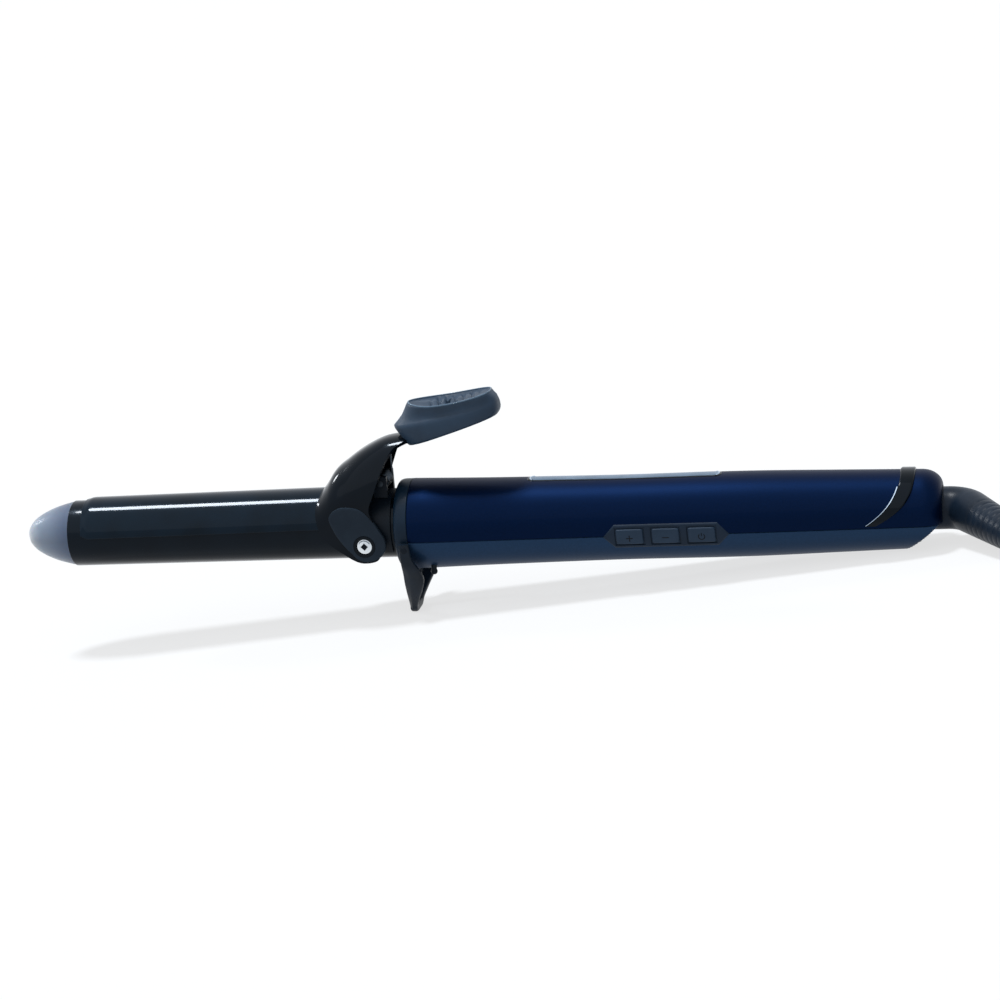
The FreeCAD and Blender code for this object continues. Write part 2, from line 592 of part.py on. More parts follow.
def make_lower_shell():
    shell = half_shell("handle_shell_lower", -1)
    boss_top = -s.seam_drop
    for spot, radius in zip(screw_spots(), (s.neck_radius, s.tail_radius)):
        boss_low = s.shell_wall / 2 - radius
        boss = shell.circles("XY_Plane", [spot], s.boss_radius, lift=(boss_low + boss_top) / 2)
        shell.pad(boss, boss_top - boss_low)
    shell.cut(shell.circles("XY_Plane", screw_spots(), s.screw_radius + s.fit_gap), far())
    recess = s.front_radius
    shell.cut(shell.circles("XY_Plane", screw_spots(), s.screw_cap_radius + s.fit_gap,
                            lift=-s.recess_top - recess / 2), recess)
    cut_panel_opening(shell)
    low = -s.front_radius
    slope = (s.tail_radius - s.seam_drop) / (s.tail_cut_to - s.tail_cut_from)
    reach = (s.tail_radius + low) / slope
    wedge = [(s.tail_cut_from + reach, low), (s.handle_length * 1.2, low),
             (s.handle_length * 1.2, -s.seam_drop), (s.tail_cut_to, -s.seam_drop)]
    shell.cut(shell.outline("XZ_Plane", wedge), far())


def make_screws():
    """Two screws close the shells from below."""
    screws = Piece("shell_screws")
    head_top = -s.recess_top
    tip = -s.seam_drop + s.screw_reach - 0.5
    screws.pad(screws.circles("XY_Plane", screw_spots(), s.screw_radius,
                              lift=(head_top + tip) / 2), tip - head_top)
    screws.pad(screws.circles("XY_Plane", screw_spots(), s.screw_cap_radius,
                              lift=head_top - s.screw_cap_thick / 2), s.screw_cap_thick)


def make_collar():
    """The black ring between barrel and handle, with a spigot inside the shells."""
    bore = s.barrel_radius + s.fit_gap
    front, outer = -s.collar_length, s.front_radius - s.fit_gap
    spigot = s.front_radius - s.shell_wall - 0.4
    collar = Piece("front_collar")
    start = outer - s.collar_round
    collar.spin(collar.outline("XZ_Plane", [
        (0, outer), (front + s.collar_round, outer, s.collar_round, 1), (front, start),
        (front, bore), (s.collar_spigot, bore), (s.collar_spigot, spigot), (0, spigot)]))
    pivot = collar.circles("XZ_Plane", [(-s.pivot_back, -s.pivot_drop)],
                           s.pivot_radius + s.fit_gap)
    collar.cut(pivot, s.front_radius * 3)


def tail_skin(x, out):
    """Radius of the handle's skin between grip and tail, farther out by the given amount."""
    taper = (s.grip_radius - s.tail_radius) / (s.tail_at - s.grip_to)
    return s.grip_radius - taper * (x - s.grip_to) + out


def make_band():
    """The swept trim band that wraps the upper shell near the cord end."""
    band = Piece("trim_band")
    front, back, under = s.band_from - s.band_sweep, s.band_to, s.fit_gap * 2
    over = under + s.band_proud
    band.spin(band.outline("XZ_Plane", [
        (front, tail_skin(front, under)), (back, tail_skin(back, under)),
        (back, tail_skin(back, over)), (front, tail_skin(front, over))]))
    wide = s.front_radius * 2
    band.cut(band.outline("YZ_Plane", box_loop(-wide, wide, -wide, -s.seam_drop)), far(300))
    margin = front - s.band_proud
    sweep = [(margin, -wide), (front, -s.seam_drop), (s.band_from - s.band_sweep * 0.3, 4.0),
             (s.band_from, 11.0), (s.band_from, wide), (margin, wide)]
    band.cut(band.outline("XZ_Plane", sweep), wide * 2)


# ---------------------------------------------------------------- controls

def curved_piece(name, role, loop, inner, outer, x_from, x_to, side):
    """A piece of the handle's curve inside a loop, kept on one side: "near" (-Y) or "top" (+Z)."""
    piece = Piece(name)
    piece.spin(piece.outline("XZ_Plane", box_loop(x_from, x_to, inner, outer)))
    wide = s.front_radius * 2
    span = (-wide, wide)
    away = box_loop(*span, -wide, inner * 0.7) if side == "top" else box_loop(
        -inner * 0.7, wide, *span)
    piece.cut(piece.outline("YZ_Plane", away), far(300))
    around = box_loop(x_from - 5, x_to + 5, -wide, wide)
    piece.cut(piece.outline(role, around, loop), wide * 3)
    return piece


def button_loop(index, grow):
    middle = s.button_first + s.button_pitch * index
    long, tall = s.button_half_long + grow, s.button_half_tall + grow
    return box_loop(middle - long, middle + long, -s.seam_drop - tall, -s.seam_drop + tall)


def make_controls():
    panel = curved_piece("button_panel", "XZ_Plane", panel_loop(0), s.grip_radius - s.panel_depth,
                         s.grip_radius + s.panel_proud, s.panel_from, s.panel_to, "near")
    for index, name in enumerate(("button_plus", "button_minus", "button_power")):
        hole = panel.outline("XZ_Plane", button_loop(index, s.button_gap), lift=s.grip_radius)
        panel.cut(hole, s.grip_radius)
        middle = s.button_first + s.button_pitch * index
        curved_piece(name, "XZ_Plane", button_loop(index, 0), s.grip_radius - s.button_depth,
                     s.grip_radius + s.button_proud, middle - s.button_half_long,
                     middle + s.button_half_long, "near")
    gap = s.fit_gap
    window = box_loop(s.window_from + gap, s.window_to - gap, -s.window_half + gap,
                      s.window_half - gap)
    curved_piece("display_window", "XY_Plane", window, s.grip_radius - s.window_depth,
                 s.grip_radius + 0.1, s.window_from + gap, s.window_to - gap, "top")


def make_boards():
    top = s.board_bottom + s.board_thick
    spots = [(s.post_front, s.post_side), (s.post_back, -s.post_side)]
    board = bar("control_board", "XY_Plane",
                box_loop(s.board_from, s.board_to, -s.board_half, s.board_half),
                s.board_bottom, top)
    board.cut(board.circles("XY_Plane", spots, s.post_screw_radius + s.fit_gap, lift=top), top)
    bar("display_module", "XY_Plane",
        box_loop(s.display_from + s.post_radius * 3, s.display_to, -s.window_half, s.window_half),
        top, s.grip_radius - s.window_depth - 0.45)
    bar("terminal_block", "XY_Plane",
        box_loop(s.board_to - s.terminal_length, s.board_to, -s.terminal_half + 1,
                 s.terminal_half), top, top + s.terminal_height)
    near, thick = s.side_board_near, s.side_board_thick
    bar("button_board", "XZ_Plane",
        box_loop(s.panel_from + 1, s.panel_to - 1, -s.side_board_low, s.board_bottom),
        near - thick, near)
    switches = Piece("button_switches")
    back = s.switch_front - s.plunger_long
    for index in range(3):
        middle = s.button_first + s.button_pitch * index
        can = box_loop(middle - s.switch_half, middle + s.switch_half,
                       -s.seam_drop - s.switch_half, -s.seam_drop + s.switch_half)
        switches.pad(switches.outline("XZ_Plane", can, lift=(near + back) / 2), back - near)
        tip = switches.circles("XZ_Plane", [(middle, -s.seam_drop)], s.plunger_radius,
                               lift=back + s.plunger_long / 2)
        switches.pad(tip, s.plunger_long)
    screws = Piece("board_screws")
    screws.pad(screws.circles("XY_Plane", spots, s.post_screw_radius,
                              lift=s.board_bottom + 2.5), as_size(5.0))
    screws.pad(screws.circles("XY_Plane", spots, s.post_screw_radius * 2,
                              lift=s.board_bottom - 0.6), as_size(1.2))


# ---------------------------------------------------------------- stand

def floor_line(x):
    """Height of the floor in the iron's frame, through the foot and the handle's rear corner."""
    foot = -s.leg_front + s.foot_width / 2
    rise = (s.foot_drop - s.tail_radius) / (s.tail_cut_from - foot)
    return -s.foot_drop + rise * (as_size(x) - foot)


def make_stand():
    """A yoke: two eyes on the collar, arms that close in to a narrow foot under the barrel."""
    inside, thick = s.arm_inside, s.arm_thick
    outside = inside + thick
    stand = Piece("stand")
    top = -s.pivot_drop + s.eye_radius
    knee = -s.knee_drop
    sole = -s.foot_drop + s.sole_thick
    deep = -s.foot_drop - 1
    outer = [(s.foot_half, deep), (outside, knee - 1), (outside, top)]
    inner = [(inside, top), (inside, knee), (s.foot_half * 0.5, sole)]
    half = outer + inner
    front = half + [(-across, up) for across, up in reversed(half)]
    stand.pad(stand.outline("YZ_Plane", front), s.front_radius * 2)
    pivot = -s.pivot_back
    toe, heel = -s.leg_front, -s.leg_front + s.foot_width
    eye, eye_z = s.eye_radius, -s.pivot_drop
    side = [(toe, floor_line(toe)), (heel, floor_line(heel)), (-s.shin_back, -s.shin_drop),
            (s.calf_back, -s.calf_drop), (pivot + eye + s.eye_neck, eye_z - eye * 1.6),
            (pivot + eye, eye_z, eye, 1), (pivot, eye_z + eye, eye, 1), (pivot - eye, eye_z)]
    reach = s.front_radius
    around = box_loop(-reach, reach, s.foot_drop * -1.5, reach * 0.6)
    stand.cut(stand.outline("XZ_Plane", around, side), reach * 4)
    stand.cut(stand.circles("XZ_Plane", [(pivot, eye_z)], s.pivot_radius + s.run_gap),
              s.front_radius * 4)
    pins = Piece("stand_pins")
    head = outside + s.run_gap
    for sign in (-1, 1):
        shank = pins.circles("XZ_Plane", [(pivot, eye_z)], s.pivot_radius,
                             lift=(s.pivot_inner + head) / 2 * sign)
        pins.pad(shank, head - s.pivot_inner)
        cap = pins.circles("XZ_Plane", [(pivot, eye_z)], s.pivot_head_radius,
                           lift=(head + s.pivot_head_thick / 2) * sign)
        pins.pad(cap, s.pivot_head_thick)
    stops = Piece("stand_stops")
    spots = [(s.stop_at, -s.stop_side), (s.stop_at, s.stop_side)]
    low, high = -s.stop_drop, -s.stop_drop + s.stop_height
    stops.pad(stops.circles("XY_Plane", spots, s.stop_radius, lift=(low + high) / 2), high - low)
    wide = s.stop_radius * 2.5
    stops.groove(stops.outline("XZ_Plane", box_loop(s.stop_at - wide, s.stop_at + wide, 0,
                                                    s.front_radius)))


# ---------------------------------------------------------------- cord swivel

def make_swivel():
    tube("swivel_socket", s.socket_from, s.socket_to, s.socket_radius, s.neck_bore)
    flange_to = s.socket_from - s.body_gap
    neck = s.neck_bore - s.run_gap
    core = Piece("swivel_core")
    core.spin(core.outline("XZ_Plane", [
        (s.spindle_from, s.cord_bore), (s.spindle_from, s.spindle_radius),
        (s.flange_from, s.spindle_radius), (s.flange_from, s.flange_radius),
        (flange_to, s.flange_radius), (flange_to, neck), (s.boot_from, neck),
        (s.boot_from, s.cord_bore)]))
    rings = Piece("slip_rings")
    for start in (s.ring_first, s.ring_second):
        rings.spin(rings.outline("XZ_Plane", box_loop(start, start + s.ring_width,
                                                      s.spindle_radius, s.ring_radius)))
    brushes = Piece("brush_contacts")
    low = s.ring_radius + s.body_gap
    for start in (s.ring_first, s.ring_second):
        contact = box_loop(start, start + s.ring_width, -s.brush_half, s.brush_half)
        brushes.pad(brushes.outline("XY_Plane", contact, lift=(low + s.brush_top) / 2),
                    s.brush_top - low)
    bar("brush_holder", "XY_Plane",
        box_loop(s.holder_front, s.holder_back, -s.holder_half, s.holder_half), s.brush_top,
        s.holder_top)
    supply = Piece("supply_wires")
    spots = [(-s.wire_side, s.wire_height), (s.wire_side, s.wire_height)]
    supply.pad(supply.circles("YZ_Plane", spots, s.supply_radius,
                              lift=(s.board_to + s.holder_front) / 2),
               s.holder_front - s.board_to)


# ---------------------------------------------------------------- boot, cord and plug

def vector(x, y, z):
    return FreeCAD.Vector(float(x), float(y), float(z))


def feature(name, shape):
    """A sub-part whose form neither sketches nor primitives fit, made with Part's functions."""
    made = DOC.addObject("Part::Feature", name)
    made.Shape = shape
    PIECES[name] = made
    return made


def rest_placement():
    """Tips the iron's frame so that the foot's flat face lies at the origin on the floor."""
    foot = (-s.leg_front + s.foot_width / 2).value
    rise = floor_line(foot + 1).value - floor_line(foot).value
    turn = FreeCAD.Rotation(vector(0, 1, 0), math.degrees(math.atan(rise)))
    centre = vector(foot, 0, floor_line(foot).value)
    return FreeCAD.Placement(-turn.multVec(centre), turn)


def boot_frame():
    """Where the boot's bend ends, and which way it points, in the iron's frame."""
    turn = FreeCAD.Rotation(vector(0, 0, 1), -s.boot_turn.value)
    dip = math.radians(s.boot_dip.value)
    ahead = turn.multVec(vector(math.cos(dip), 0, -math.sin(dip)))
    start = vector(s.boot_bend_at.value, 0, 0)
    angle = ahead.getAngle(vector(1, 0, 0))
    inward = (ahead - vector(1, 0, 0) * math.cos(angle)).normalize()
    centre = start + inward * s.boot_bend_radius.value
    middle = centre + (vector(1, 0, 0) * math.sin(angle / 2)
                       - inward * math.cos(angle / 2)) * s.boot_bend_radius.value
    end = centre + (vector(1, 0, 0) * math.sin(angle)
                    - inward * math.cos(angle)) * s.boot_bend_radius.value
    return start, middle, end, ahead


def make_boot():
    """The strain relief, moulded on the cord: a root, a bend to the near side and a taper."""
    start, middle, end, ahead = boot_frame()
    radius, taper = s.boot_radius.value, s.boot_taper_length.value
    root_length = s.boot_bend_at.value - s.boot_from.value
    outer = bend_solid(start, middle, end, radius, s.boot_from.value, root_length)
    tail = Part.makeCone(radius, s.boot_end_radius.value, taper, end, ahead)
    feature("cord_boot", outer.fuse(tail).removeSplitter())
    return end + ahead * taper, ahead


def bend_solid(start, middle, end, radius, x_from, root_length):
    """A straight root along X and the bend that follows it, of one radius."""
    root = Part.makeCylinder(radius, root_length, vector(x_from, 0, 0), vector(1, 0, 0))
    arc = Part.Wire(Part.Arc(start, middle, end).toShape())
    section = Part.Wire(Part.Circle(start, vector(1, 0, 0), radius).toShape())
    return root.fuse(arc.makePipeShell([section], True, True))


def rounded_route(points):
    """Straight runs joined by tangent arcs, each 0.45 of its shorter run."""
    edges = []
    here = points[0]
    for before, corner, after in zip(points, points[1:], points[2:]):
        back, ahead = (before - corner), (after - corner)
        trim = 0.45 * min(back.Length, ahead.Length)
        half_turn = (math.pi - back.getAngle(ahead)) / 2
        radius = trim / math.tan(half_turn)
        start = corner + back.normalize() * trim
        end = corner + ahead.normalize() * trim
        towards = (back + ahead).normalize()
        centre = corner + towards * (radius / math.cos(half_turn))
        middle = centre - towards * radius
        edges.append(Part.LineSegment(here, start).toShape())
        edges.append(Part.Arc(start, middle, end).toShape())
        print(f"cord radius {radius:.1f} mm")
        here = end
    edges.append(Part.LineSegment(here, points[-1]).toShape())
    return Part.Wire(edges)


def swept_cord(route):
    radius = s.cord_radius.value
    first = route.Edges[0]
    start = first.valueAt(first.FirstParameter)
    way = first.tangentAt(first.FirstParameter)
    section = Part.Wire(Part.Circle(start, way, radius).toShape())
    solid = route.makePipeShell([section], True, True)
    wanted = math.pi * radius ** 2 * route.Length
    print(f"cord length {route.Length:.1f} mm, volume {solid.Volume / wanted:.4f} of its path's")
    return solid


# The cord lies on the floor, so its route, coil and plug are given in the floor's frame.
COIL_CENTRE = (292.5, -26.8)
CORD_ROUTE = [(246.0, -55.9, 4.4), (255.3, -62.3, 4.1), (266.0, -66.4, 4.1), (277.2, -68.2, 4.1)]
TAIL_ROUTE = [(312.5, -61.4, 10.4), (321.4, -56.9, 9.4), (330.0, -54.4, 7.8)]
PLUG_START = (337.0, -53.4, 7.0)
PLUG_TURN = math.degrees(math.atan2(PLUG_START[1] - TAIL_ROUTE[-1][1],
                                    PLUG_START[0] - TAIL_ROUTE[-1][0]))


def make_cord(exit_point, exit_way):
    """The tube from the boot to the coil, the coil's outer shape and the tail to the plug."""
    place = rest_placement()
    start = place.multVec(exit_point)
    way = place.Rotation.multVec(exit_way)
    print("cord leaves the boot at", [round(part, 2) for part in start])
    route = [start, start + way * 10] + [vector(*point) for point in CORD_ROUTE]
    feature("cord_tube", swept_cord(rounded_route(route)))
    tail = [vector(*point) for point in TAIL_ROUTE]
    feature("cord_tail", swept_cord(rounded_route(tail + [vector(*PLUG_START)])))
    inner, outer = s.coil_radius - s.coil_half_width, s.coil_radius + s.coil_half_width
    middle = s.tie_wall + s.coil_height / 2
    coil = Piece("cord_coil")
    coil.pad(coil.circles("XY_Plane", [(0, 0)], outer, lift=middle), s.coil_height)
    coil.cut(coil.circles("XY_Plane", [(0, 0)], inner, lift=middle), s.coil_height * 2)
    tie = Piece("cord_tie")
    wall = s.tie_wall
    band = box_loop(inner - wall, outer + wall, 0, s.coil_height + wall * 2)
    room = box_loop(inner, outer, wall, s.coil_height + wall)
    tie.pad(tie.outline("XZ_Plane", band, room), s.tie_width)
    centre = vector(*COIL_CENTRE, 0)
    coil.body.Placement = FreeCAD.Placement(centre, FreeCAD.Rotation())
    turn = FreeCAD.Rotation(vector(0, 0, 1), s.tie_angle.value)
    tie.body.Placement = FreeCAD.Placement(centre, turn)


def make_plug():
    """A flat two-pin plug lying on the floor, X along its pins."""
    length = s.plug_boot_length
    boot = Piece("plug_boot")
    boot.spin(boot.outline("XZ_Plane", [(0, 0), (length, 0), (length, s.plug_boot_base),
                                        (0, s.plug_boot_tip)]))
    half, waist = s.plug_half_width, s.plug_waist
    end = length + s.plug_length
    body = Piece("plug_body")
    body.pad(body.outline("XY_Plane", [
        (length, -waist), (length + 7, -waist - 3), (length + 14, -half), (end, -half),
        (end, half), (length + 14, half), (length + 7, waist + 3), (length, waist)]),
        s.plug_half_thick * 2)
    spots = [(-s.prong_half_spacing, 0), (s.prong_half_spacing, 0)]
    pins = Piece("plug_pins")
    pins.pad(pins.circles("YZ_Plane", spots, s.prong_radius, lift=end + s.prong_length / 2),
             s.prong_length)
    turn = FreeCAD.Rotation(vector(0, 0, 1), PLUG_TURN)
    for piece in (boot, body, pins):
        piece.body.Placement = FreeCAD.Placement(vector(*PLUG_START), turn)


def finish():
    """Places every sub-part, checks it and writes its STEP file."""
    DOC.recompute()
    place = rest_placement()
    for name, piece in PIECES.items():
        if name == "clamp_spoon":
            front = vector(-s.spoon_front.value, 0, 0)
            length = s.spoon_front.value - s.spoon_back.value
            lift = -math.degrees(math.asin(s.spoon_lift.value / length))
            piece.Placement = place.multiply(
                FreeCAD.Placement(vector(0, 0, 0), FreeCAD.Rotation(vector(0, 1, 0), lift), front))
        elif name not in FLOOR_PIECES:
            piece.Placement = place.multiply(piece.Placement)
    DOC.recompute()
    for item in DOC.Objects:
        if "Invalid" in item.State or "Error" in item.State:
            raise RuntimeError(f"{item.Label} failed: {item.State}")
    os.makedirs("parts", exist_ok=True)
    for name, piece in PIECES.items():
        shape = piece.Shape
        if shape.isNull() or not shape.isValid():
            raise RuntimeError(f"{name} has no valid shape")
        print(f"{name}: {len(shape.Solids)} solids, {shape.Volume:.0f} mm3")
        shape.exportStep(f"parts/{name}.step")


FLOOR_PIECES = {"cord_tube", "cord_tail", "cord_coil", "cord_tie", "plug_boot", "plug_body",
                "plug_pins"}

make_barrel()
make_tip()
make_heater()
make_wiring()
make_hinge()
make_spring()
make_spoon()
make_lever()
make_pad()
make_upper_shell()
make_lower_shell()
make_screws()
make_collar()
make_band()
make_controls()
make_boards()
make_stand()
make_swivel()
make_cord(*make_boot())
make_plug()
finish()
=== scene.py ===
import json
import math

import bmesh
import bpy
import numpy as np
from mathutils import Matrix, Vector


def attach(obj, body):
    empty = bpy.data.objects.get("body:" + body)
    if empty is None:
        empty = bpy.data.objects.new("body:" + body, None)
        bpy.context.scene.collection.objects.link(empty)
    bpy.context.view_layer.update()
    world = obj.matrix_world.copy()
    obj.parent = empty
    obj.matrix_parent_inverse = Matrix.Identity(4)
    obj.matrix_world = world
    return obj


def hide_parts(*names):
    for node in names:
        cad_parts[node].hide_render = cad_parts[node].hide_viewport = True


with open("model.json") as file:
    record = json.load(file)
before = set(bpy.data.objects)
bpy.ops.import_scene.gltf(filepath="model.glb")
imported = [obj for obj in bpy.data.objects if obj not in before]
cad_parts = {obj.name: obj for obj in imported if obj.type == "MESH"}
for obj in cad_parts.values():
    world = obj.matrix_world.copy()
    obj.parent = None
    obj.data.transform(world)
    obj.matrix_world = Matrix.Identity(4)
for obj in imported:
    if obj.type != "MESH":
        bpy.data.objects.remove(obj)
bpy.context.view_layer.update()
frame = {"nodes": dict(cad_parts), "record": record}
MM = 0.001
TIP_NOSE = -152.5

# The iron's own frame, in mm: X along the barrel towards the cord, Z up through the thumb pad,
# X = 0 at the handle's front face. It rests tipped on the stand's foot and the handle's rear.
FOOT = np.array([-2.4, 0.0, -33.5])
TIP_UP = math.atan((33.5 - 14.5) / (183.7 + 2.4))
TURN = np.array([[math.cos(TIP_UP), 0, math.sin(TIP_UP)], [0, 1, 0],
                 [-math.sin(TIP_UP), 0, math.cos(TIP_UP)]])


def rest(points):
    """Points of the iron's frame in mm, as metres where the iron rests on the floor."""
    return (np.asarray(points, float) - FOOT) @ TURN.T * MM


# ------------------------------------------------------------------------------ camera

def make_camera():
    """A 115 mm lens over the near side, turned 12 degrees towards the tip and rolled by 5."""
    yaw, rise, roll = math.radians(12.0), math.radians(15.513), math.radians(-5.0)
    ahead = np.array([-math.sin(yaw) * math.cos(rise), math.cos(yaw) * math.cos(rise),
                      -math.sin(rise)])
    right = np.array([math.cos(yaw), math.sin(yaw), 0.0])
    up = np.cross(right, ahead)
    right, up = (math.cos(roll) * right + math.sin(roll) * up,
                 math.cos(roll) * up - math.sin(roll) * right)
    lens = bpy.data.cameras.new("camera")
    lens.lens, lens.sensor_width = 115.2, 36.0
    lens.clip_start, lens.clip_end = 0.05, 100.0
    camera = bpy.data.objects.new("camera", lens)
    bpy.context.collection.objects.link(camera)
    axes = np.array([right, up, -ahead]) @ TURN.T
    place = rest([271.62, -1123.56, 326.83])
    camera.matrix_world = Matrix([[*axes[:, i], place[i]] for i in range(3)] + [[0, 0, 0, 1]])
    bpy.context.scene.camera = camera


# ------------------------------------------------------------------------------ mesh code

def through(knots, values, at):
    """Smooth values between knots: cubic Hermite cells, slopes taken from the neighbours."""
    knots, values = np.asarray(knots, float), np.asarray(values, float)
    slopes = np.gradient(values, knots, axis=0)
    cell = np.clip(np.searchsorted(knots, at) - 1, 0, len(knots) - 2)
    span = knots[cell + 1] - knots[cell]
    t = np.clip((at - knots[cell]) / span, 0, 1)
    return ((2 * t**3 - 3 * t**2 + 1) * values[cell] + (t**3 - 2 * t**2 + t) * span * slopes[cell]
            + (3 * t**2 - 2 * t**3) * values[cell + 1] + (t**3 - t**2) * span * slopes[cell + 1])


def step(edge, width, at):
    """0 below the edge, 1 a width above it, with a smooth cubic rise between."""
    t = np.clip((at - edge) / width, 0, 1)
    return t * t * (3 - 2 * t)


def rounded(corners, steps=5):
    """A line through (across, up, radius) corners, each rounded by a quadratic curve."""
    points = []
    spots = [np.array(corner[:2], float) for corner in corners]
    for index, corner in enumerate(corners):
        radius = corner[2] if len(corner) > 2 else 0
        if not radius or index in (0, len(corners) - 1):
            points.append(spots[index][None])
            continue
        here = spots[index]
        back = spots[index - 1] - here
        ahead = spots[index + 1] - here
        start = here + back / np.linalg.norm(back) * min(radius, np.linalg.norm(back) / 2)
        end = here + ahead / np.linalg.norm(ahead) * min(radius, np.linalg.norm(ahead) / 2)
        t = np.linspace(0, 1, steps)[:, None]
        points.append((1 - t)**2 * start + 2 * t * (1 - t) * here + t**2 * end)
    return np.concatenate(points)


def lobe(value, power):
    """A cosine or sine bent to the rounded-square outline of a superellipse of that power."""
    return np.sign(value) * np.abs(value)**(2 / power)


def stacked(x, y, z):
    """Three coordinates of any matching shapes as one grid of points."""
    return np.stack(np.broadcast_arrays(x, y, z), -1)


def denser(line, gap):
    """The same line with points no farther apart than the gap, spread evenly on each run."""
    parts = []
    for start, end in zip(line, line[1:]):
        count = max(1, int(np.ceil(np.linalg.norm(end - start) / gap)))
        parts.append(start + (end - start) * np.linspace(0, 1, count, endpoint=False)[:, None])
    return np.concatenate(parts + [line[-1:]])


def grid_mesh(name, grid, around=False, flip=False, ends=False):
    """A mesh over a grid of points: quads between neighbours, wrapped where it goes around."""
    rows, columns = grid.shape[:2]
    number = np.arange(rows * columns).reshape(rows, columns)
    if around:
        number = np.concatenate([number, number[:, :1]], axis=1)
    quads = np.stack([number[:-1, :-1], number[:-1, 1:], number[1:, 1:], number[1:, :-1]], axis=-1)
    faces = [tuple(face) for face in quads.reshape(-1, 4).tolist()]
    if ends:
        faces += [tuple(number[0, :columns][::-1].tolist()), tuple(number[-1, :columns].tolist())]
    if flip:
        faces = [face[::-1] for face in faces]
    mesh = bpy.data.meshes.new(name)
    mesh.from_pydata(grid.reshape(-1, 3).tolist(), [], faces)
    mesh.update()
    return mesh


def piece(name, grid, body, material, slot, replaces=(), crease=32, **shape):
    """A grid of points in metres as an object that rides on a body.

    Doubled points are merged, and faces are turned outwards. The shape's settings say whether
    the grid goes around, has closed ends or is flipped.
    """
    mesh = grid_mesh(name, grid, **shape)
    work = bmesh.new()
    work.from_mesh(mesh)
    bmesh.ops.remove_doubles(work, verts=work.verts, dist=2e-6)
    bmesh.ops.recalc_face_normals(work, faces=work.faces)
    work.to_mesh(mesh)
    work.free()
    mesh.materials.append(material)
    mesh.shade_smooth()
    mesh.set_sharp_from_angle(angle=math.radians(crease))
    thing = bpy.data.objects.new(name, mesh)
    bpy.context.collection.objects.link(thing)
    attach(thing, body)
    if replaces:
        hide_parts(*replaces)
    return thing


def solidify(thing, thickness, bevel=0.0):
    """Gives a sheet its wall inwards, and softens the edges that the wall makes."""
    wall = thing.modifiers.new("wall", "SOLIDIFY")
    wall.thickness, wall.offset, wall.use_even_offset = thickness * MM, -1.0, True
    if bevel:
        edge = thing.modifiers.new("edge", "BEVEL")
        edge.width, edge.segments, edge.limit_method = bevel * MM, 3, "ANGLE"
        edge.angle_limit = math.radians(50)
        edge.harden_normals = True


def turned(profile, angles):
    """A profile of (x, radius) turned about the X axis; angle 0 is up, 90 the near side."""
    x, radius = profile[:, :1], profile[:, 1:]
    swing = np.radians(angles)[None]
    return stacked(x, -radius * np.sin(swing), radius * np.cos(swing))


FULL = np.linspace(0, 360, 96, endpoint=False)


def lathe(name, corners, body, material, slot, replaces=(), gap=6.0, steps=5):
    """A profile of (x, radius, rounding) corners turned all round the iron's axis."""
    grid = turned(denser(rounded(corners, steps), gap), FULL)
    return piece(name, rest(grid), body, material, slot, replaces, around=True)


def pipe(path, radii, sides=24):
    """Circles of the given radii along a path, square to it, turned as little as it allows."""
    tangent = np.gradient(path, axis=0)
    tangent /= np.linalg.norm(tangent, axis=1)[:, None]
    side = np.cross(tangent, np.array([0.12, 0.05, 1.0]))
    side /= np.linalg.norm(side, axis=1)[:, None]
    rise = np.cross(side, tangent)
    swing = np.linspace(0, 2 * math.pi, sides, endpoint=False)[None, :, None]
    ring = side[:, None] * np.cos(swing) + rise[:, None] * np.sin(swing)
    return path[:, None] + ring * np.asarray(radii)[:, None, None]


# ------------------------------------------------------------------------------ materials

def linear(text):
    """An sRGB hex colour as the linear numbers that a shader takes."""
    parts = [int(text[i:i + 2], 16) / 255 for i in (0, 2, 4)]
    return tuple(p / 12.92 if p <= 0.04045 else ((p + 0.055) / 1.055)**2.4 for p in parts) + (1.0,)


def add(tree, kind, settings=None, links=None):
    """Adds a node, with its properties and input values set and its inputs linked."""
    node = tree.nodes.new(kind)
    for name, value in (settings or {}).items():
        if name in node.inputs:
            node.inputs[name].default_value = value
        else:
            setattr(node, name, value)
    for name, socket in (links or {}).items():
        tree.links.new(socket, node.inputs[name])
    return node


def base(name, **values):
    """A new material with one Principled shader, its values set on its own sockets."""
    made = bpy.data.materials.new(name)
    made.use_nodes = True
    shader = next(n for n in made.node_tree.nodes if n.type == "BSDF_PRINCIPLED")
    for key, value in values.items():
        shader.inputs[key.replace("_", " ")].default_value = value
    return made, made.node_tree, shader


def grain(tree, shader, size_mm, depth_mm, strength=0.5):
    """A surface grain: noise of that size in mm as bump of that depth."""
    place = add(tree, "ShaderNodeTexCoord")
    noise = add(tree, "ShaderNodeTexNoise", {"Scale": 1000 / size_mm, "Detail": 2.0},
                {"Vector": place.outputs["Object"]})
    bump = add(tree, "ShaderNodeBump", {"Strength": strength, "Distance": depth_mm * MM},
               {"Height": noise.outputs["Fac"]})
    tree.links.new(bump.outputs["Normal"], shader.inputs["Normal"])


def varied(tree, shader, low, high, size_mm, socket="Base Color"):
    """Lets a colour or a roughness wander between two values over patches of that size."""
    place = add(tree, "ShaderNodeTexCoord")
    noise = add(tree, "ShaderNodeTexNoise", {"Scale": 1000 / size_mm, "Detail": 3.0},
                {"Vector": place.outputs["Object"]})
    ramp = add(tree, "ShaderNodeValToRGB", links={"Fac": noise.outputs["Fac"]})
    ramp.color_ramp.elements[0].position, ramp.color_ramp.elements[1].position = 0.35, 0.65
    pair = [linear(low), linear(high)] if isinstance(low, str) else [
        (low, low, low, 1), (high, high, high, 1)]
    for stop, colour in zip(ramp.color_ramp.elements, pair):
        stop.color = colour
    tree.links.new(ramp.outputs["Color"], shader.inputs[socket])


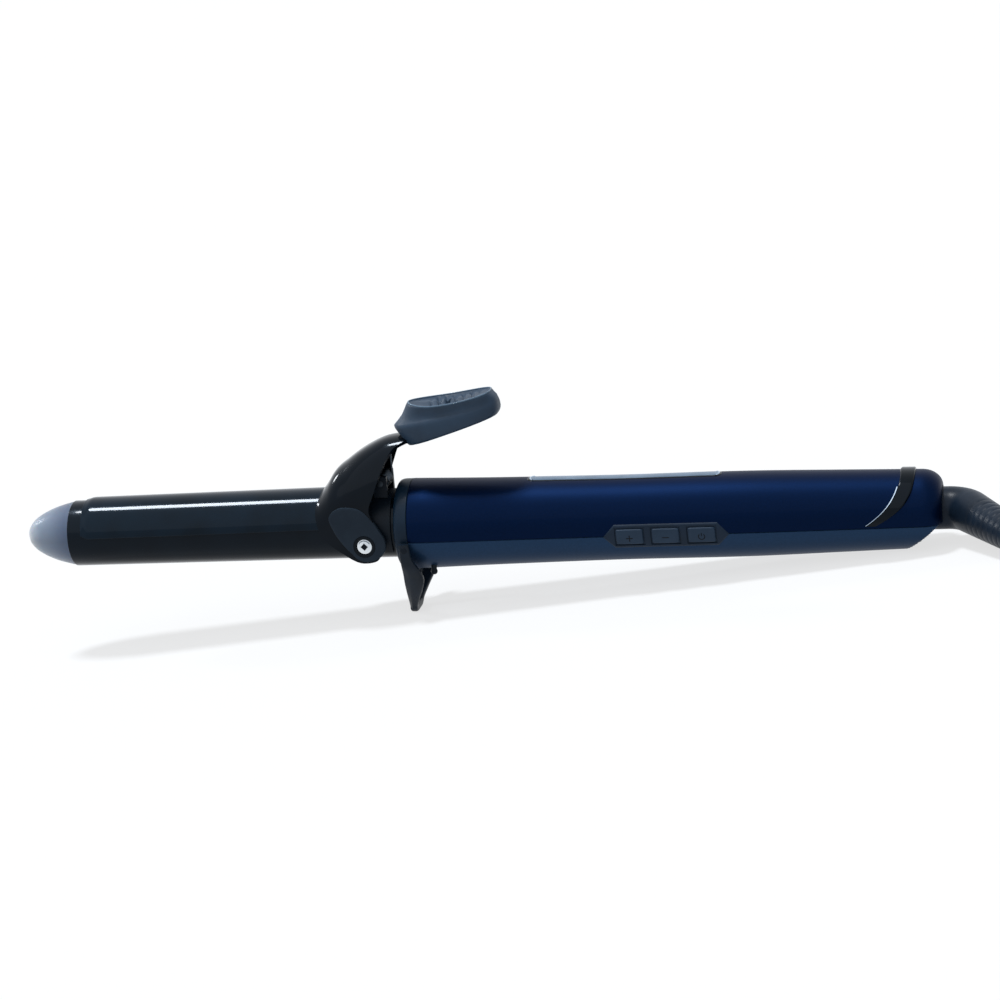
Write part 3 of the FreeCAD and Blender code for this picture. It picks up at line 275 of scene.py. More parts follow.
def moulded(name, dark, light, roughness, grit_mm=0.45, depth_mm=0.03, specular=0.35):
    """Injection-moulded plastic or rubber: even colour, a fine spark-eroded grain."""
    made, tree, shader = base(name, Specular_IOR_Level=specular, Roughness=roughness)
    varied(tree, shader, dark, light, 9.0)
    grain(tree, shader, grit_mm, depth_mm)
    return made


def polished(name, dark, light, roughness):
    """Polished moulding or lacquer: a cool clear skin over a dark body, with a trace of smears."""
    made, tree, shader = base(name, Specular_IOR_Level=0.05, Coat_Weight=0.5,
                              Specular_Tint=(0.45, 0.7, 1.0, 1.0), Coat_Roughness=0.06,
                              Coat_IOR=1.25)
    varied(tree, shader, dark, light, 14.0)
    varied(tree, shader, roughness * 0.85, roughness * 1.2, 7.0, "Roughness")
    return made


def metal(name, dark, light, roughness):
    """Bare or plated metal with fine drawing marks."""
    made, tree, shader = base(name, Metallic=1.0, Roughness=roughness)
    varied(tree, shader, dark, light, 5.0)
    grain(tree, shader, 0.6, 0.01, 0.3)
    return made


def metallic_lacquer(name, dark, light, coat=0.03):
    """Navy base coat with fine aluminium flake under clear lacquer: a broad, soft blue glow.

    Real flakes are 0.03 mm; they are drawn at 0.25 mm so that the faintest sparkle shows.
    """
    made, tree, shader = base(name, Metallic=0.7, Roughness=0.45, Specular_IOR_Level=0.0,
                              Coat_Weight=coat, Coat_Roughness=0.07)
    varied(tree, shader, dark, light, 0.5)
    place = add(tree, "ShaderNodeTexCoord")
    flake = add(tree, "ShaderNodeTexVoronoi", {"Scale": 1000 / 0.25},
                {"Vector": place.outputs["Object"]})
    bump = add(tree, "ShaderNodeBump", {"Strength": 0.05, "Distance": 0.01 * MM},
               {"Height": flake.outputs["Distance"]})
    tree.links.new(bump.outputs["Normal"], shader.inputs["Normal"])
    return made


def frosted_tip():
    """Heat-proof frosted plastic, milky at its solid nose, darker where it sleeves the barrel.

    The colour follows the distance from the nose, read from the place on the cap.
    """
    made, tree, shader = base("frosted_polycarbonate", Roughness=0.34, Specular_IOR_Level=0.35,
                              Subsurface_Weight=0.2, Subsurface_Scale=0.003, Sheen_Weight=0.9,
                              Sheen_Roughness=0.35)
    place = add(tree, "ShaderNodeTexCoord")
    parts = add(tree, "ShaderNodeSeparateXYZ", links={"Vector": place.outputs["Object"]})
    nose, seat = float(rest([TIP_NOSE, 0, 0])[0]), float(rest([-132.5, 0, 0])[0])
    run = add(tree, "ShaderNodeMapRange", {"From Min": nose, "From Max": seat},
              {"Value": parts.outputs["X"]})
    haze = add(tree, "ShaderNodeTexNoise", {"Scale": 1000 / 7.0, "Detail": 3.0},
               {"Vector": place.outputs["Object"]})
    mixed = add(tree, "ShaderNodeMath", {"operation": "MULTIPLY_ADD"})
    tree.links.new(haze.outputs["Fac"], mixed.inputs[0])
    mixed.inputs[1].default_value = 0.16
    tree.links.new(run.outputs[0], mixed.inputs[2])
    ramp = add(tree, "ShaderNodeValToRGB", links={"Fac": mixed.outputs[0]})
    stops = ramp.color_ramp.elements
    stops[0].position, stops[0].color = 0.06, linear("C2CBD4")
    stops[1].position, stops[1].color = 1.0, linear("566681")
    middle = stops.new(0.42)
    middle.color = linear("8D9CB0")
    tree.links.new(ramp.outputs["Color"], shader.inputs["Base Color"])
    grain(tree, shader, 1.2, 0.02, 0.2)
    return made


coated_metal = polished("glossy_barrel_coating", "050E17", "08131D", 0.2)
clip_gloss = polished("polished_clip_coating", "06141F", "0A1C2A", 0.13)
tip_plastic = frosted_tip()
black_gloss = polished("piano_black_plastic", "040A11", "070F18", 0.14)
ear_plastic = moulded("satin_grey_nylon", "1F2A36", "24303C", 0.5, 0.4, 0.02, 0.12)
satin_black = moulded("satin_black_nylon", "0B141D", "0F1924", 0.42, 0.45, 0.03, 0.12)
collar_plastic = moulded("satin_blue_black_nylon", "0E2031", "122739", 0.4, 0.45, 0.02, 0.14)
stand_black = moulded("stand_nylon", "0F1A25", "152230", 0.36, 0.45, 0.03, 0.16)
slate_rubber = moulded("slate_soft_touch_rubber", "203448", "263C52", 0.5, 0.5, 0.02, 0.3)
# The pad's rim bead is paler than the pad itself: painted highlight for the light along the rim.
slate_painted_highlight = polished("slate_rubber_painted_highlight", "5D7389", "6B8298", 0.3)
navy = metallic_lacquer("navy_metallic_lacquer", "04142F", "051633")
# The underside is a paler copy of the same navy lacquer: painted reflection of the pale floor.
navy_painted_floor_reflection = metallic_lacquer("navy_lacquer_painted_floor_reflection", "1D334D", "203753", 0.08)
panel_rubber = moulded("matt_silicone_rubber", "1A2838", "1E2D3F", 0.55, 0.4, 0.02, 0.15)
key_rubber = moulded("key_silicone_rubber", "24364A", "293C51", 0.5, 0.4, 0.02, 0.18)
sign_ink = moulded("printed_sign_ink", "060B12", "0A1018", 0.4, 0.5, 0.01, 0.1)
silver_mask = polished("silvered_display_mask", "5C7187", "788DA3", 0.3)
# Pale polished metal: trim at the display's ends, and on the swept band's front edge a painted
# highlight for the light on its bevel.
bright_trim_and_painted_highlight = metal("polished_trim_and_painted_highlight", "A9BDD2", "C3D2E0", 0.2)
chrome = metal("nickel_plated_screw", "C6CDD3", "DCE1E5", 0.14)
# Dark steel for the clamp's spring and pin: painted shade for the gap under the lever where they
# sit.
spring_steel_painted_shade = metal("spring_steel_dark_painted_shade", "2A3138", "3A424A", 0.3)
raw_steel = metal("zinc_plated_steel", "6A7178", "7D848B", 0.35)
brass = metal("nickel_plated_brass", "B5A678", "C6B98C", 0.25)
cord_skin = moulded("matt_pvc_cord", "121D2A", "172433", 0.35, 0.5, 0.02, 0.12)
ceramic = moulded("fired_ceramic", "CFC9BC", "DDD8CC", 0.6, 0.3, 0.03)
aluminium = metal("extruded_aluminium", "A9ADB1", "BFC3C6", 0.4)
sleeve = moulded("silicone_sleeving", "7C2A22", "8F332A", 0.45)
board_green = moulded("glass_epoxy_board", "1E5A34", "256B3F", 0.35, 0.6)

BY_SLOT = {
    "barrel": coated_metal, "cool_tip": tip_plastic, "ceramic": ceramic, "aluminium": aluminium,
    "steel": raw_steel, "chrome": chrome, "wire": sleeve, "black_plastic": satin_black,
    "black_gloss": black_gloss, "blue_paint": navy, "blue_paint_pale": navy_painted_floor_reflection,
    "rubber": panel_rubber, "pad_rubber": slate_rubber, "window": silver_mask,
    "board": board_green, "display": silver_mask, "brass": brass, "cord": cord_skin}


def dress_cad_nodes():
    """Every node carried over from the CAD takes the finish of its slot in the record; the clamp's
    spring, its pin and the hinge saddle instead take dark finishes, painted shade for the gap under
    the lever.
    """
    slots = {part["node"]: part["material_slot"] for part in frame["record"]["subparts"]}
    # The spring, its pin and the saddle are darkened: painted shade under the lever.
    own = {"clamp_spring": spring_steel_painted_shade, "spring_pin": spring_steel_painted_shade, "hinge_saddle": satin_black}
    for name, thing in frame["nodes"].items():
        thing.data.materials.clear()
        thing.data.materials.append(own.get(name, BY_SLOT[slots[name]]))


# ------------------------------------------------------------------------------ cord

COIL = np.array([292.5, -26.8])
CORD_IN = [(233.5, -39.7, 6.5), (238.8, -48.1, 5.3), (246.0, -55.9, 4.4), (255.3, -62.3, 4.1),
           (265.8, -67.0, 4.1)]
TAIL = [(312.0, -62.3, 10.7), (318.5, -58.9, 10.6), (325.0, -55.9, 9.3), (331.0, -54.2, 7.7),
        (337.0, -53.4, 7.0)]
LANES = [(43.5, 4.15), (37.0, 4.15), (30.5, 4.15), (33.7, 9.8), (30.5, 15.4), (37.0, 15.4),
         (43.2, 15.4), (40.2, 9.8)]


def coil_points():
    """The stored turns: each lane is a circle, left for the next lane over a short sector."""
    start, end = -110.0, -66.0 + 360 * 7
    swing = np.linspace(start + 6, end, 115)
    lane = (swing - start) / (end - start) * (len(LANES) - 1)
    whole = np.floor(lane)
    lane = np.clip(whole + step(0.72, 0.28, lane - whole), 0, len(LANES) - 1)
    table = np.array(LANES)
    radius = np.interp(lane, np.arange(len(LANES)), table[:, 0])
    height = np.interp(lane, np.arange(len(LANES)), table[:, 1])
    swing = np.radians(swing)
    return np.stack([COIL[0] + radius * np.cos(swing), COIL[1] + radius * np.sin(swing), height],
                    axis=-1)


def make_cord():
    route = np.concatenate([CORD_IN, coil_points(), TAIL]) * MM
    curve = bpy.data.curves.new("mains_cord", "CURVE")
    curve.dimensions = "3D"
    line = curve.splines.new("NURBS")
    line.points.add(len(route) - 1)
    line.points.foreach_set("co", np.concatenate([route, np.ones((len(route), 1))], 1).ravel())
    line.order_u = 3
    line.use_endpoint_u = True
    line.resolution_u = 6
    curve.bevel_depth, curve.bevel_resolution, curve.use_fill_caps = 3.25 * MM, 5, True
    curve.materials.append(cord_skin)
    cord = bpy.data.objects.new("mains_cord", curve)
    bpy.context.collection.objects.link(cord)
    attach(cord, "cord")
    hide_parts("cord_tube", "cord_coil", "cord_tail")
    return cord, route


def route_length(cord):
    """Length of the cord's own smooth line."""
    bare = cord.data.copy()
    bare.bevel_depth = 0.0
    stand_in = bpy.data.objects.new("bare_line", bare)
    mesh = bpy.data.meshes.new_from_object(stand_in)
    spots = np.empty(len(mesh.vertices) * 3)
    mesh.vertices.foreach_get("co", spots)
    bpy.data.objects.remove(stand_in)
    return float(np.linalg.norm(np.diff(spots.reshape(-1, 3), axis=0), axis=1).sum())


# ------------------------------------------------------------------------------ boot, plug, tie

def boot_line():
    """The boot's middle line in mm: straight, an arc of 10 mm radius, then straight again."""
    turn, dip = math.radians(57.0), math.radians(4.0)
    ahead = np.array([math.cos(turn) * math.cos(dip), -math.sin(turn) * math.cos(dip),
                      -math.sin(dip)])
    root = np.array([1.0, 0, 0])
    angle = math.acos(ahead[0])
    inward = (ahead - root * math.cos(angle)) / math.sin(angle)
    centre = np.array([198.0, 0, 0]) + inward * 10
    swing = np.linspace(0, angle, 24)[:, None]
    arc = centre + (root * np.sin(swing) - inward * np.cos(swing)) * 10
    straight = np.linspace(188.6, 197.4, 8)[:, None] * root
    tail = arc[-1] + ahead * np.linspace(0.7, 42.0, 110)[:, None]
    return np.concatenate([straight, arc, tail])


def make_boot():
    """A tapering sleeve with fine rings moulded round its free part."""
    path = boot_line()
    run = np.concatenate([[0], np.cumsum(np.linalg.norm(np.diff(path, axis=0), axis=1))])
    radius = np.interp(run, [0, 20, run[-1]], [7.8, 7.8, 5.6])
    rings = step(24.0, 8.0, run) * (1 - step(run[-1] - 3.5, 1.5, run))
    radius = radius - 0.16 * rings * (0.5 + 0.5 * np.cos(run * 2 * math.pi / 3.2))**4
    radius = radius - 1.0 * step(run[-1] - 1.0, 1.0, run)**2
    grid = pipe(path, radius, 40)
    piece("strain_relief", rest(grid), "cord", cord_skin, "cord", ["cord_boot"], crease=60,
          around=True, ends=True)


def make_tie():
    """A rounded strap round the coil's section."""
    low, high, inner, outer = 0.0, 19.6, 26.4, 47.4
    loop = rounded([((inner + outer) / 2, low), (outer, low, 3.2), (outer, high, 3.2),
                    (inner, high, 3.2), (inner, low, 3.2), ((inner + outer) / 2, low)], 7)
    loop = denser(loop, 2.0)[:-1]
    across = np.linspace(-4, 4, 9)
    swing = math.radians(20.0)
    out = np.array([math.cos(swing), math.sin(swing), 0])
    side = np.array([-math.sin(swing), math.cos(swing), 0])
    centre = np.array([*COIL, 0.0])
    grid = (centre + out * loop[:, 0][:, None, None] + side * across[None, :, None]
            + np.array([0, 0, 1.0]) * loop[:, 1][:, None, None])
    tie = piece("cord_strap", np.swapaxes(grid, 0, 1) * MM, "cord", satin_black, "black_plastic",
                ["cord_tie"], crease=50, around=True)
    solidify(tie, 0.9, 0.2)
    return tie


PLUG_AT = np.array([337.0, -53.4, 7.0])
PLUG_SWING = math.atan2(1.0, 7.0)


def by_plug(points):
    """Points along, beside and above the plug's start, as metres on the floor."""
    along = np.array([math.cos(PLUG_SWING), math.sin(PLUG_SWING), 0])
    beside = np.array([-math.sin(PLUG_SWING), math.cos(PLUG_SWING), 0])
    points = np.asarray(points, float)
    return (PLUG_AT + along * points[..., :1] + beside * points[..., 1:2]
            + np.array([0, 0, 1.0]) * points[..., 2:]) * MM


def make_plug():
    """A flat two-pin plug: superellipse sections swept from a ringed boot to a square face."""
    run = np.linspace(0, 50, 101)
    wide = through([0, 14, 17, 23, 30, 40, 47, 50], [4.2, 5.6, 6.8, 9.5, 16.0, 17.4, 17.3, 16.2],
                   run)
    tall = through([0, 14, 17, 23, 30, 40, 47, 50], [4.2, 5.4, 6.2, 6.7, 6.9, 6.9, 6.8, 6.2], run)
    rings = (1 - step(13, 1.5, run)) * step(1.0, 1.0, run)
    ring = 0.45 * rings * (0.5 + 0.5 * np.cos(run * 2 * math.pi / 3.0))**3
    power = 2 + 1.6 * step(16, 12, run)[:, None]
    swing = np.linspace(0, 2 * math.pi, 56, endpoint=False)[None]
    y = (wide - ring)[:, None] * lobe(np.cos(swing), power)
    z = (tall - ring)[:, None] * lobe(np.sin(swing), power)
    grid = by_plug(stacked(run[:, None], y, z))
    return piece("plug_moulding", grid, "cord", cord_skin, "cord", ["plug_boot", "plug_body"],
                 crease=50, around=True, ends=True)


def make_prongs():
    """Two round pins with domed ends."""
    profile = rounded([(50, 0), (50, 2.0, 0), (69.0, 2.0, 1.6), (69.0, 0)], 6)
    made = []
    for name, side in (("plug_prong_left", -9.5), ("plug_prong_right", 9.5)):
        grid = turned(denser(profile, 2.0), np.linspace(0, 360, 28, endpoint=False))
        grid = by_plug(grid + np.array([0, side, 0]))
        made.append(piece(name, grid, "cord", brass, "brass", ["plug_pins"] if side < 0 else [],
                          around=True))
    return made


# ------------------------------------------------------------------------------ barrel and tip

def make_barrel():
    lathe("barrel", [(-126, 11.5), (-133.4, 11.5, 0.3), (-133.4, 12.5, 0.35), (-20, 12.5),
                     (-5, 12.5), (-5, 11.5), (-126, 11.5)], "iron", coated_metal, "barrel",
          ["barrel_tube"])


# Radius of the tip's dome against the root of the distance from its nose, in mm.
TIP_DOME = ([0, 0.45, 0.9, 1.22, 1.73, 2.24, 2.85, 3.52, 4.1, 4.38],
            [0, 1.62, 3.15, 4.15, 5.75, 7.2, 8.85, 10.5, 11.7, 12.25])


def make_tip():
    """A pointed dome: its radius is a smooth curve over the root of the distance from the nose."""
    root = np.linspace(4.38, 0, 44)
    outer = np.stack([root**2 + TIP_NOSE, through(*TIP_DOME, root)], -1)
    outer[-1] = (TIP_NOSE, 0)
    collar = np.array([(-127.0, 10.6), (-127.0, 11.4), (-133.3, 11.4), (-133.3, 12.0)])
    piece("cool_tip_dome", rest(turned(np.concatenate([collar, outer]), FULL)), "iron", tip_plastic,
          "cool_tip", ["cool_tip"], around=True)


def make_clip():
    """A sheet bent over the barrel: an arc of 13.6 mm radius, drawn down to a lip in front."""
    x = np.concatenate([np.linspace(-128, -124, 12), np.linspace(-122, -27, 30)])
    v = np.linspace(-1, 1, 73)[None]
    lip = 1 - step(-128.0, 4.0, x)
    radius = 13.65 - 0.55 * lip**2
    reach = 84.9 - 5.0 * lip**2
    swing = np.radians(v * reach[:, None])
    lift = math.radians(0.62)
    y = -radius[:, None] * np.sin(swing)
    z = radius[:, None] * np.cos(swing)
    along = x[:, None] + 128 + 0 * swing
    grid = np.stack([-128 + along * math.cos(lift) - z * math.sin(lift), y,
                     z * math.cos(lift) + along * math.sin(lift)], axis=-1)
    clip = piece("clip", rest(grid), "clamp", clip_gloss, "barrel", ["clamp_spoon"], flip=True)
    solidify(clip, 0.75, 0.22)


# ------------------------------------------------------------------------------ lever and pad

CREST = ([-36.0, -35.1, -31.5, -29.3, -23, -14.9, -8.9, -3, 3],
         [13.4, 13.9, 18.0, 21.2, 26.4, 31.4, 33.9, 34.9, 35.3])
LEVER_FRONT = ([0, 35, 60, 75, 90, 110, 130, 150, 180],
               [-35.2, -35.6, -35.2, -34.4, -33.2, -29.5, -25.0, -21.5, -16.9])
LEVER_REAR = ([0, 12, 18, 26, 38, 54, 68, 78, 86, 90, 100, 120, 140, 160, 180],
              [3.0, 3.0, 0.4, -3.4, -6.3, -9.2, -12.0, -14.0, -12.2, -11.0, -10.3, -10.3, -10.9,
               -12.6, -16.5])


def make_lever():
    """The arched lever: side levels from the crest (0) over the flank (90) to the ear's foot (180).

    Above the hinge a station's section is a superellipse of half-width W and height H; below it
    the cheek runs straight down to the foot, 10.5 mm under the barrel's axis.
    """
    side = np.concatenate([np.linspace(0, 60, 26), np.linspace(62, 180, 50)])
    level = np.concatenate([-side[:0:-1], side])
    u = np.linspace(0, 1, 56)[None]
    size = np.abs(level)
    front = through(*LEVER_FRONT, size)[:, None]
    rear = through(*LEVER_REAR, size)[:, None]
    x = front + (rear - front) * u
    crest = through(*CREST, x)
    wide = through([-37, -33, -25, 0], [14.6, 15.1, 15.8, 15.8], x)
    power = through([-37, -30, -20, 0], [2.0, 2.25, 2.5, 2.5], x)
    swing = np.radians(np.minimum(size, 90))[:, None] + 0 * x
    y = wide * np.sin(swing)**(2 / power)
    z = crest * np.maximum(np.cos(swing), 0)**(2 / power)
    down = np.clip(size - 90, 0, 90)[:, None]
    z = z - 10.5 * np.sin(np.radians(down)) + 0 * x
    y = np.where(level[:, None] < 0, y, -y)
    grid = np.stack([x, y, z], axis=-1)
    lever = piece("lever_arch", rest(grid), "clamp", black_gloss, "black_plastic", ["clamp_lever"],
                  crease=40)
    solidify(lever, 1.6, 0.35)


HINGE_X, HINGE_Z = -16.7, -4.0


def by_hinge(radius, swing, y):
    """Rings round the hinge's line, at that distance from the iron's middle plane."""
    return rest(stacked(HINGE_X + radius * np.cos(swing), y, HINGE_Z + radius * np.sin(swing)))


# Reach of the cheek's satin plate from the hinge, in mm, against the angle above the cord's side.
PLATE = ([-180, -161, -122, -85, -55, -28, -5, 14, 48, 77, 93, 109, 123, 138, 150, 165, 180],
         [7.2, 5.9, 5.6, 5.9, 6.5, 7.5, 8.0, 8.2, 8.6, 11.4, 14.2, 16.0, 17.4, 17.0, 13.0, 9.4,
          7.2])


def make_ears():
    """Satin plates on the lever's cheeks: rings round the hinge, widening to the plate's edge.

    The innermost rings go down into the recess for the hinge screw.
    """
    share = np.array([0, 0, 0.0, 0.04, 0.1, 0.3, 0.6, 0.9, 0.96, 1.0, 1.0])[:, None]
    lift = np.array([15.0, 15.85, 16.2, 16.3, 16.3, 16.3, 16.3, 16.3, 16.26, 16.1, 14.6])[:, None]
    angle = np.linspace(-180, 180, 144, endpoint=False)
    edge = through(*PLATE, angle)[None]
    inner = 3.95 + 0.1 * (lift > 16.0)
    radius = inner + (edge - inner) * share
    swing = np.radians(angle)[None]
    for name, side in (("lever_plate_near", -1), ("lever_plate_far", 1)):
        piece(name, by_hinge(radius, swing, side * lift), "clamp", ear_plastic, "black_plastic",
              crease=40, around=True)


def make_screw_heads():
    """Domed hinge screws with a square recess, each in a dark ring that stands on the plate: the
    ring, in the lever's black plastic, is painted shade for the screw's recess.
    """
    for name, side in (("hinge_screw_near", -1), ("hinge_screw_far", 1)):
        ring = np.concatenate([np.linspace(0, 2.6, 34), np.linspace(2.65, 3.1, 10)])[:, None]
        swing = np.linspace(0, 2 * math.pi, 96, endpoint=False)[None]
        diamond = np.abs(ring * np.cos(swing)) + np.abs(ring * np.sin(swing))
        groove = step(2.15, 0.12, ring) * (1 - step(2.4, 0.12, ring)) * (np.sin(swing) > 0.45)
        deep = 0.9 * (1 - step(1.2, 0.2, diamond)) + 0.2 * groove
        height = 16.35 - 0.3 * (ring / 3.1)**3 - deep - 0.9 * step(2.98, 0.12, ring)
        piece(name, by_hinge(ring, swing, side * height), "iron", chrome, "chrome",
              ["hinge_screws"] if side < 0 else [], crease=25, around=True)
        # The black ring round each screw stands in for the shade in the screw's recess: painted
        # shade, in the lever's gloss plastic.
        ring = np.linspace(2.9, 4.2, 14)[:, None]
        seat = by_hinge(ring, swing, side * (16.42 - 0.3 * step(4.1, 0.16, ring)))
        piece(name + "_seat_painted_shade", seat, "clamp", black_gloss, "black_plastic", around=True)


# The thumb pad's rings from its underside to its dished top, in mm: front and rear X, half-width,
# and height at the front and at the rear.
PAD_RINGS = np.array([
    (3.0, 31.0, 3.0, 31.9, 40.4), (1.7, 34.0, 7.8, 31.2, 41.2), (0.5, 35.0, 9.3, 31.2, 41.7),
    (-0.6, 35.4, 9.9, 32.1, 42.3), (-1.9, 35.7, 10.2, 34.0, 43.2), (-3.2, 35.8, 10.2, 35.8, 44.0),
    (-4.4, 35.7, 10.0, 37.6, 45.2), (-4.7, 35.5, 9.7, 38.6, 46.2), (-4.1, 35.3, 9.2, 39.3, 46.9),
    (-3.2, 35.1, 8.9, 40.2, 47.4), (-1.4, 34.8, 8.6, 42.4, 48.2), (-0.1, 34.0, 8.8, 44.9, 49.0),
    (0.5, 33.5, 9.2, 46.2, 49.6), (0.9, 33.1, 9.2, 46.8, 50.1), (1.4, 32.7, 8.9, 47.1, 50.3),
    (2.1, 32.2, 8.5, 46.9, 50.1)])


def make_pad():
    """A closed shoe of superellipse rings: underside, waist and a dished top with cross grooves.

    A bead in a paler colour runs round the rim of the top: a painted highlight along the rim.
    """
    swing = np.linspace(0, 2 * math.pi, 168, endpoint=False)[None]
    share = np.linspace(0.985, 0.0, 76)[:, None]
    last = PAD_RINGS[-1]
    middle = (last[0] + last[1]) / 2
    inner = np.concatenate([middle + (last[0] - middle) * share,
                            middle + (last[1] - middle) * share,
                            last[2] * share, 0 * share, 0 * share], 1)
    rings = np.concatenate([PAD_RINGS, inner])
    front, rear, half, low, high = (rings[:, i][:, None] for i in range(5))
    # The plan is squarer at the rear than in front, where the top comes to a rounder point.
    pointed = np.interp(np.arange(len(rings)), [0, 5, 12], [3.0, 2.3, 1.9])[:, None]
    power = 3.1 * (1 + np.cos(swing)) / 2 + pointed * (1 - np.cos(swing)) / 2
    x = (front + rear) / 2 + (rear - front) / 2 * lobe(np.cos(swing), power)
    y = half * lobe(np.sin(swing), power) * (1 - 0.10 * step(18, 18, x))
    tilt = (x - front) / np.maximum(rear - front, 1e-6)
    z = low + (high - low) * tilt
    top = last[3] + (last[4] - last[3]) * (x - last[0]) / (last[1] - last[0])
    ribbed = step(8.5, 3.0, x) * (1 - step(27.5, 3.0, x))
    groove = (0.5 + 0.5 * np.cos((x + 0.25 * y - 10.0) * 2 * math.pi / 3.2))**2 * ribbed
    sag = np.interp(np.arange(len(rings)), [8, 13], [0, 1.3])[:, None] * np.sin(
        math.pi * np.clip(tilt, 0, 1)**0.8)
    inside = np.concatenate([np.zeros((len(PAD_RINGS), 1)), 1 - share**4])
    z = np.where(np.arange(len(rings))[:, None] >= len(PAD_RINGS), top, z)
    z = z - inside * (0.8 + 0.9 * groove) - sag
    piece("thumb_rest", rest(np.stack([x, y, z], -1)), "clamp", slate_rubber, "pad_rubber",
          ["thumb_pad"], crease=60, around=True, ends=True)
    rim_line = np.stack([x, y, z], -1)[len(PAD_RINGS) - 2]
    loop = np.concatenate([rim_line[-2:], rim_line, rim_line[:2]])
    bead = pipe(loop, np.full(len(loop), 0.3), 10)[2:-2]
    bead = np.concatenate([bead, bead[:1]])
    piece("thumb_rest_painted_highlight", rest(bead), "clamp", slate_painted_highlight, "pad_rubber", crease=60, around=True)


# ------------------------------------------------------------------------------ handle

# Outer radius of the handle against X, in mm, and the seam's depth below its axis.
SKIN = ([0, 25, 50, 75, 130, 160, 184, 189], [17.0, 16.4, 16.0, 15.7, 15.7, 15.05, 14.5, 14.4])
SEAM = 3.0


def skin(x):
    """Outer radius of the handle before its rounded end."""
    return through(*SKIN, x)


def handle_profile():
    """Stations and radii of the handle from its front face to the hole for the boot."""
    x = np.concatenate([[0.0, 0.0, 0.25], np.linspace(1, 189, 190)])
    radius = skin(x)
    radius[:2] = [14.9, 16.75]
    swing = np.linspace(0, math.pi / 2, 16)[1:]
    end = np.stack([189.0 + 7.5 * np.sin(swing), 14.4 - 5.6 * (1 - np.cos(swing))], -1)
    end = np.concatenate([end, [(196.5, 8.5), (196.0, 8.15), (192.0, 8.15)]])
    return np.concatenate([np.stack([x, radius], -1), end])


def seam_angle(radius):
    """Degrees from the top of the handle round to the seam, at that radius."""
    return np.degrees(math.pi / 2 + np.arcsin(np.minimum(SEAM / radius, 0.4)))


def seam_groove(v):
    """How deep each half's edge turns in at the seam, in mm; v is 1 at the seam."""
    return 0.32 * step(0.985, 0.015, np.abs(v))**2


def make_shells():
    profile = handle_profile()
    x, radius = profile[:, :1], profile[:, 1:]
    edge = np.linspace(0.94, 1, 14)
    v = np.concatenate([-edge[::-1], np.linspace(-0.92, 0.92, 100), edge])[None]
    swing = np.radians(v * seam_angle(radius))
    out = radius - seam_groove(v)
    top = stacked(x, -out * np.sin(swing), out * np.cos(swing))
    piece("handle_top", rest(top), "iron", navy, "blue_paint", ["handle_shell_upper"], crease=35)
    low_swing = math.pi + np.radians(v * (180 - seam_angle(radius)))
    cut = 13.5 - (np.clip(x, 183.7, 195.5) - 183.7) * (13.5 - SEAM) / (195.5 - 183.7)
    cut = np.where(x < 183.7, 99.0, np.maximum(cut, 2.9))
    depth = -np.cos(low_swing)
    low = np.minimum(radius - seam_groove(v), cut / np.maximum(depth, 1e-3))
    base_grid = stacked(x, -low * np.sin(low_swing), low * np.cos(low_swing))
    # The underside takes the paler navy, a painted reflection of the floor.
    piece("handle_underside", rest(base_grid), "iron", navy_painted_floor_reflection, "blue_paint_pale",
          ["handle_shell_lower"], crease=35)


def make_collar():
    lathe("collar", [(0, 14.0), (0, 16.6), (-0.2, 16.95, 0.3), (-5.3, 16.95, 4.2),
                     (-5.3, 13.0, 0.4), (-5.3, 12.6), (3.0, 12.6)], "iron", collar_plastic,
          "black_plastic", ["front_collar"], gap=1.2, steps=12)


BAND_FRONT = ([0, 20, 38, 55, 68, 80, 90, 99], [181.6, 181.8, 181.3, 179.9, 177.9, 175.0, 171.7,
                                               168.6])
BAND_REAR = ([0, 20, 38, 57, 70, 82, 92, 99], [187.2, 187.1, 186.6, 185.2, 183.0, 179.6, 175.6,
                                              172.4])


def over_shell(name, material, from_angle, to_angle, low, high, proud, replaces=()):
    """A strip over the shell between shares of the swept band's width, proud and rounded.

    Points are the handle's skin radius plus the rise, at X between the band's two edge curves.
    """
    swing = np.linspace(from_angle, to_angle, 180)[:, None]
    size = np.abs(swing)[:, 0]
    front, rear = through(*BAND_FRONT, size)[:, None], through(*BAND_REAR, size)[:, None]
    fade = 1 - step(88, 11, np.abs(swing))
    t = np.concatenate([[0, 0.0], np.linspace(0.0, 0.12, 8)[1:], np.linspace(0.15, 0.85, 20),
                        np.linspace(0.88, 1.0, 8), [1.0]])[None]
    x = front + (rear - front) * (low + (high - low) * t)
    lift = np.clip(np.minimum(t, 1 - t) / 0.12, 0, 1)
    rise = 0.15 + proud * np.sqrt(1 - (1 - lift)**2) * fade
    rise[:, 0] = rise[:, -1] = -0.4
    rise[0] = rise[-1] = -0.4
    radius = skin(x) + rise
    angle = np.radians(swing)
    grid = np.stack([x, -radius * np.sin(angle), radius * np.cos(angle)], -1)
    piece(name, rest(grid), "iron", material, "black_gloss", replaces, crease=45)


def make_band():
    over_shell("swept_band", black_gloss, -99, 99, 0.0, 1.0, 0.7, ["trim_band"])
    # The two lips are pale metal strips along the band's front edge: painted highlight for the
    # light on its bevel.
    over_shell("swept_band_painted_highlight_near", bright_trim_and_painted_highlight, 42, 97, -0.05, 0.03, 0.75)
    over_shell("swept_band_painted_highlight_far", bright_trim_and_painted_highlight, -97, -42, -0.05, 0.03, 0.75)


# ------------------------------------------------------------------------------ controls

GRIP_RADIUS = 15.7


def on_side(x, height, out):
    """Points on the near side of the grip: height above the seam, out from its skin."""
    z = height - SEAM
    radius = GRIP_RADIUS + out
    return stacked(x, -np.sqrt(np.maximum(radius**2 - z**2, 1)), z)


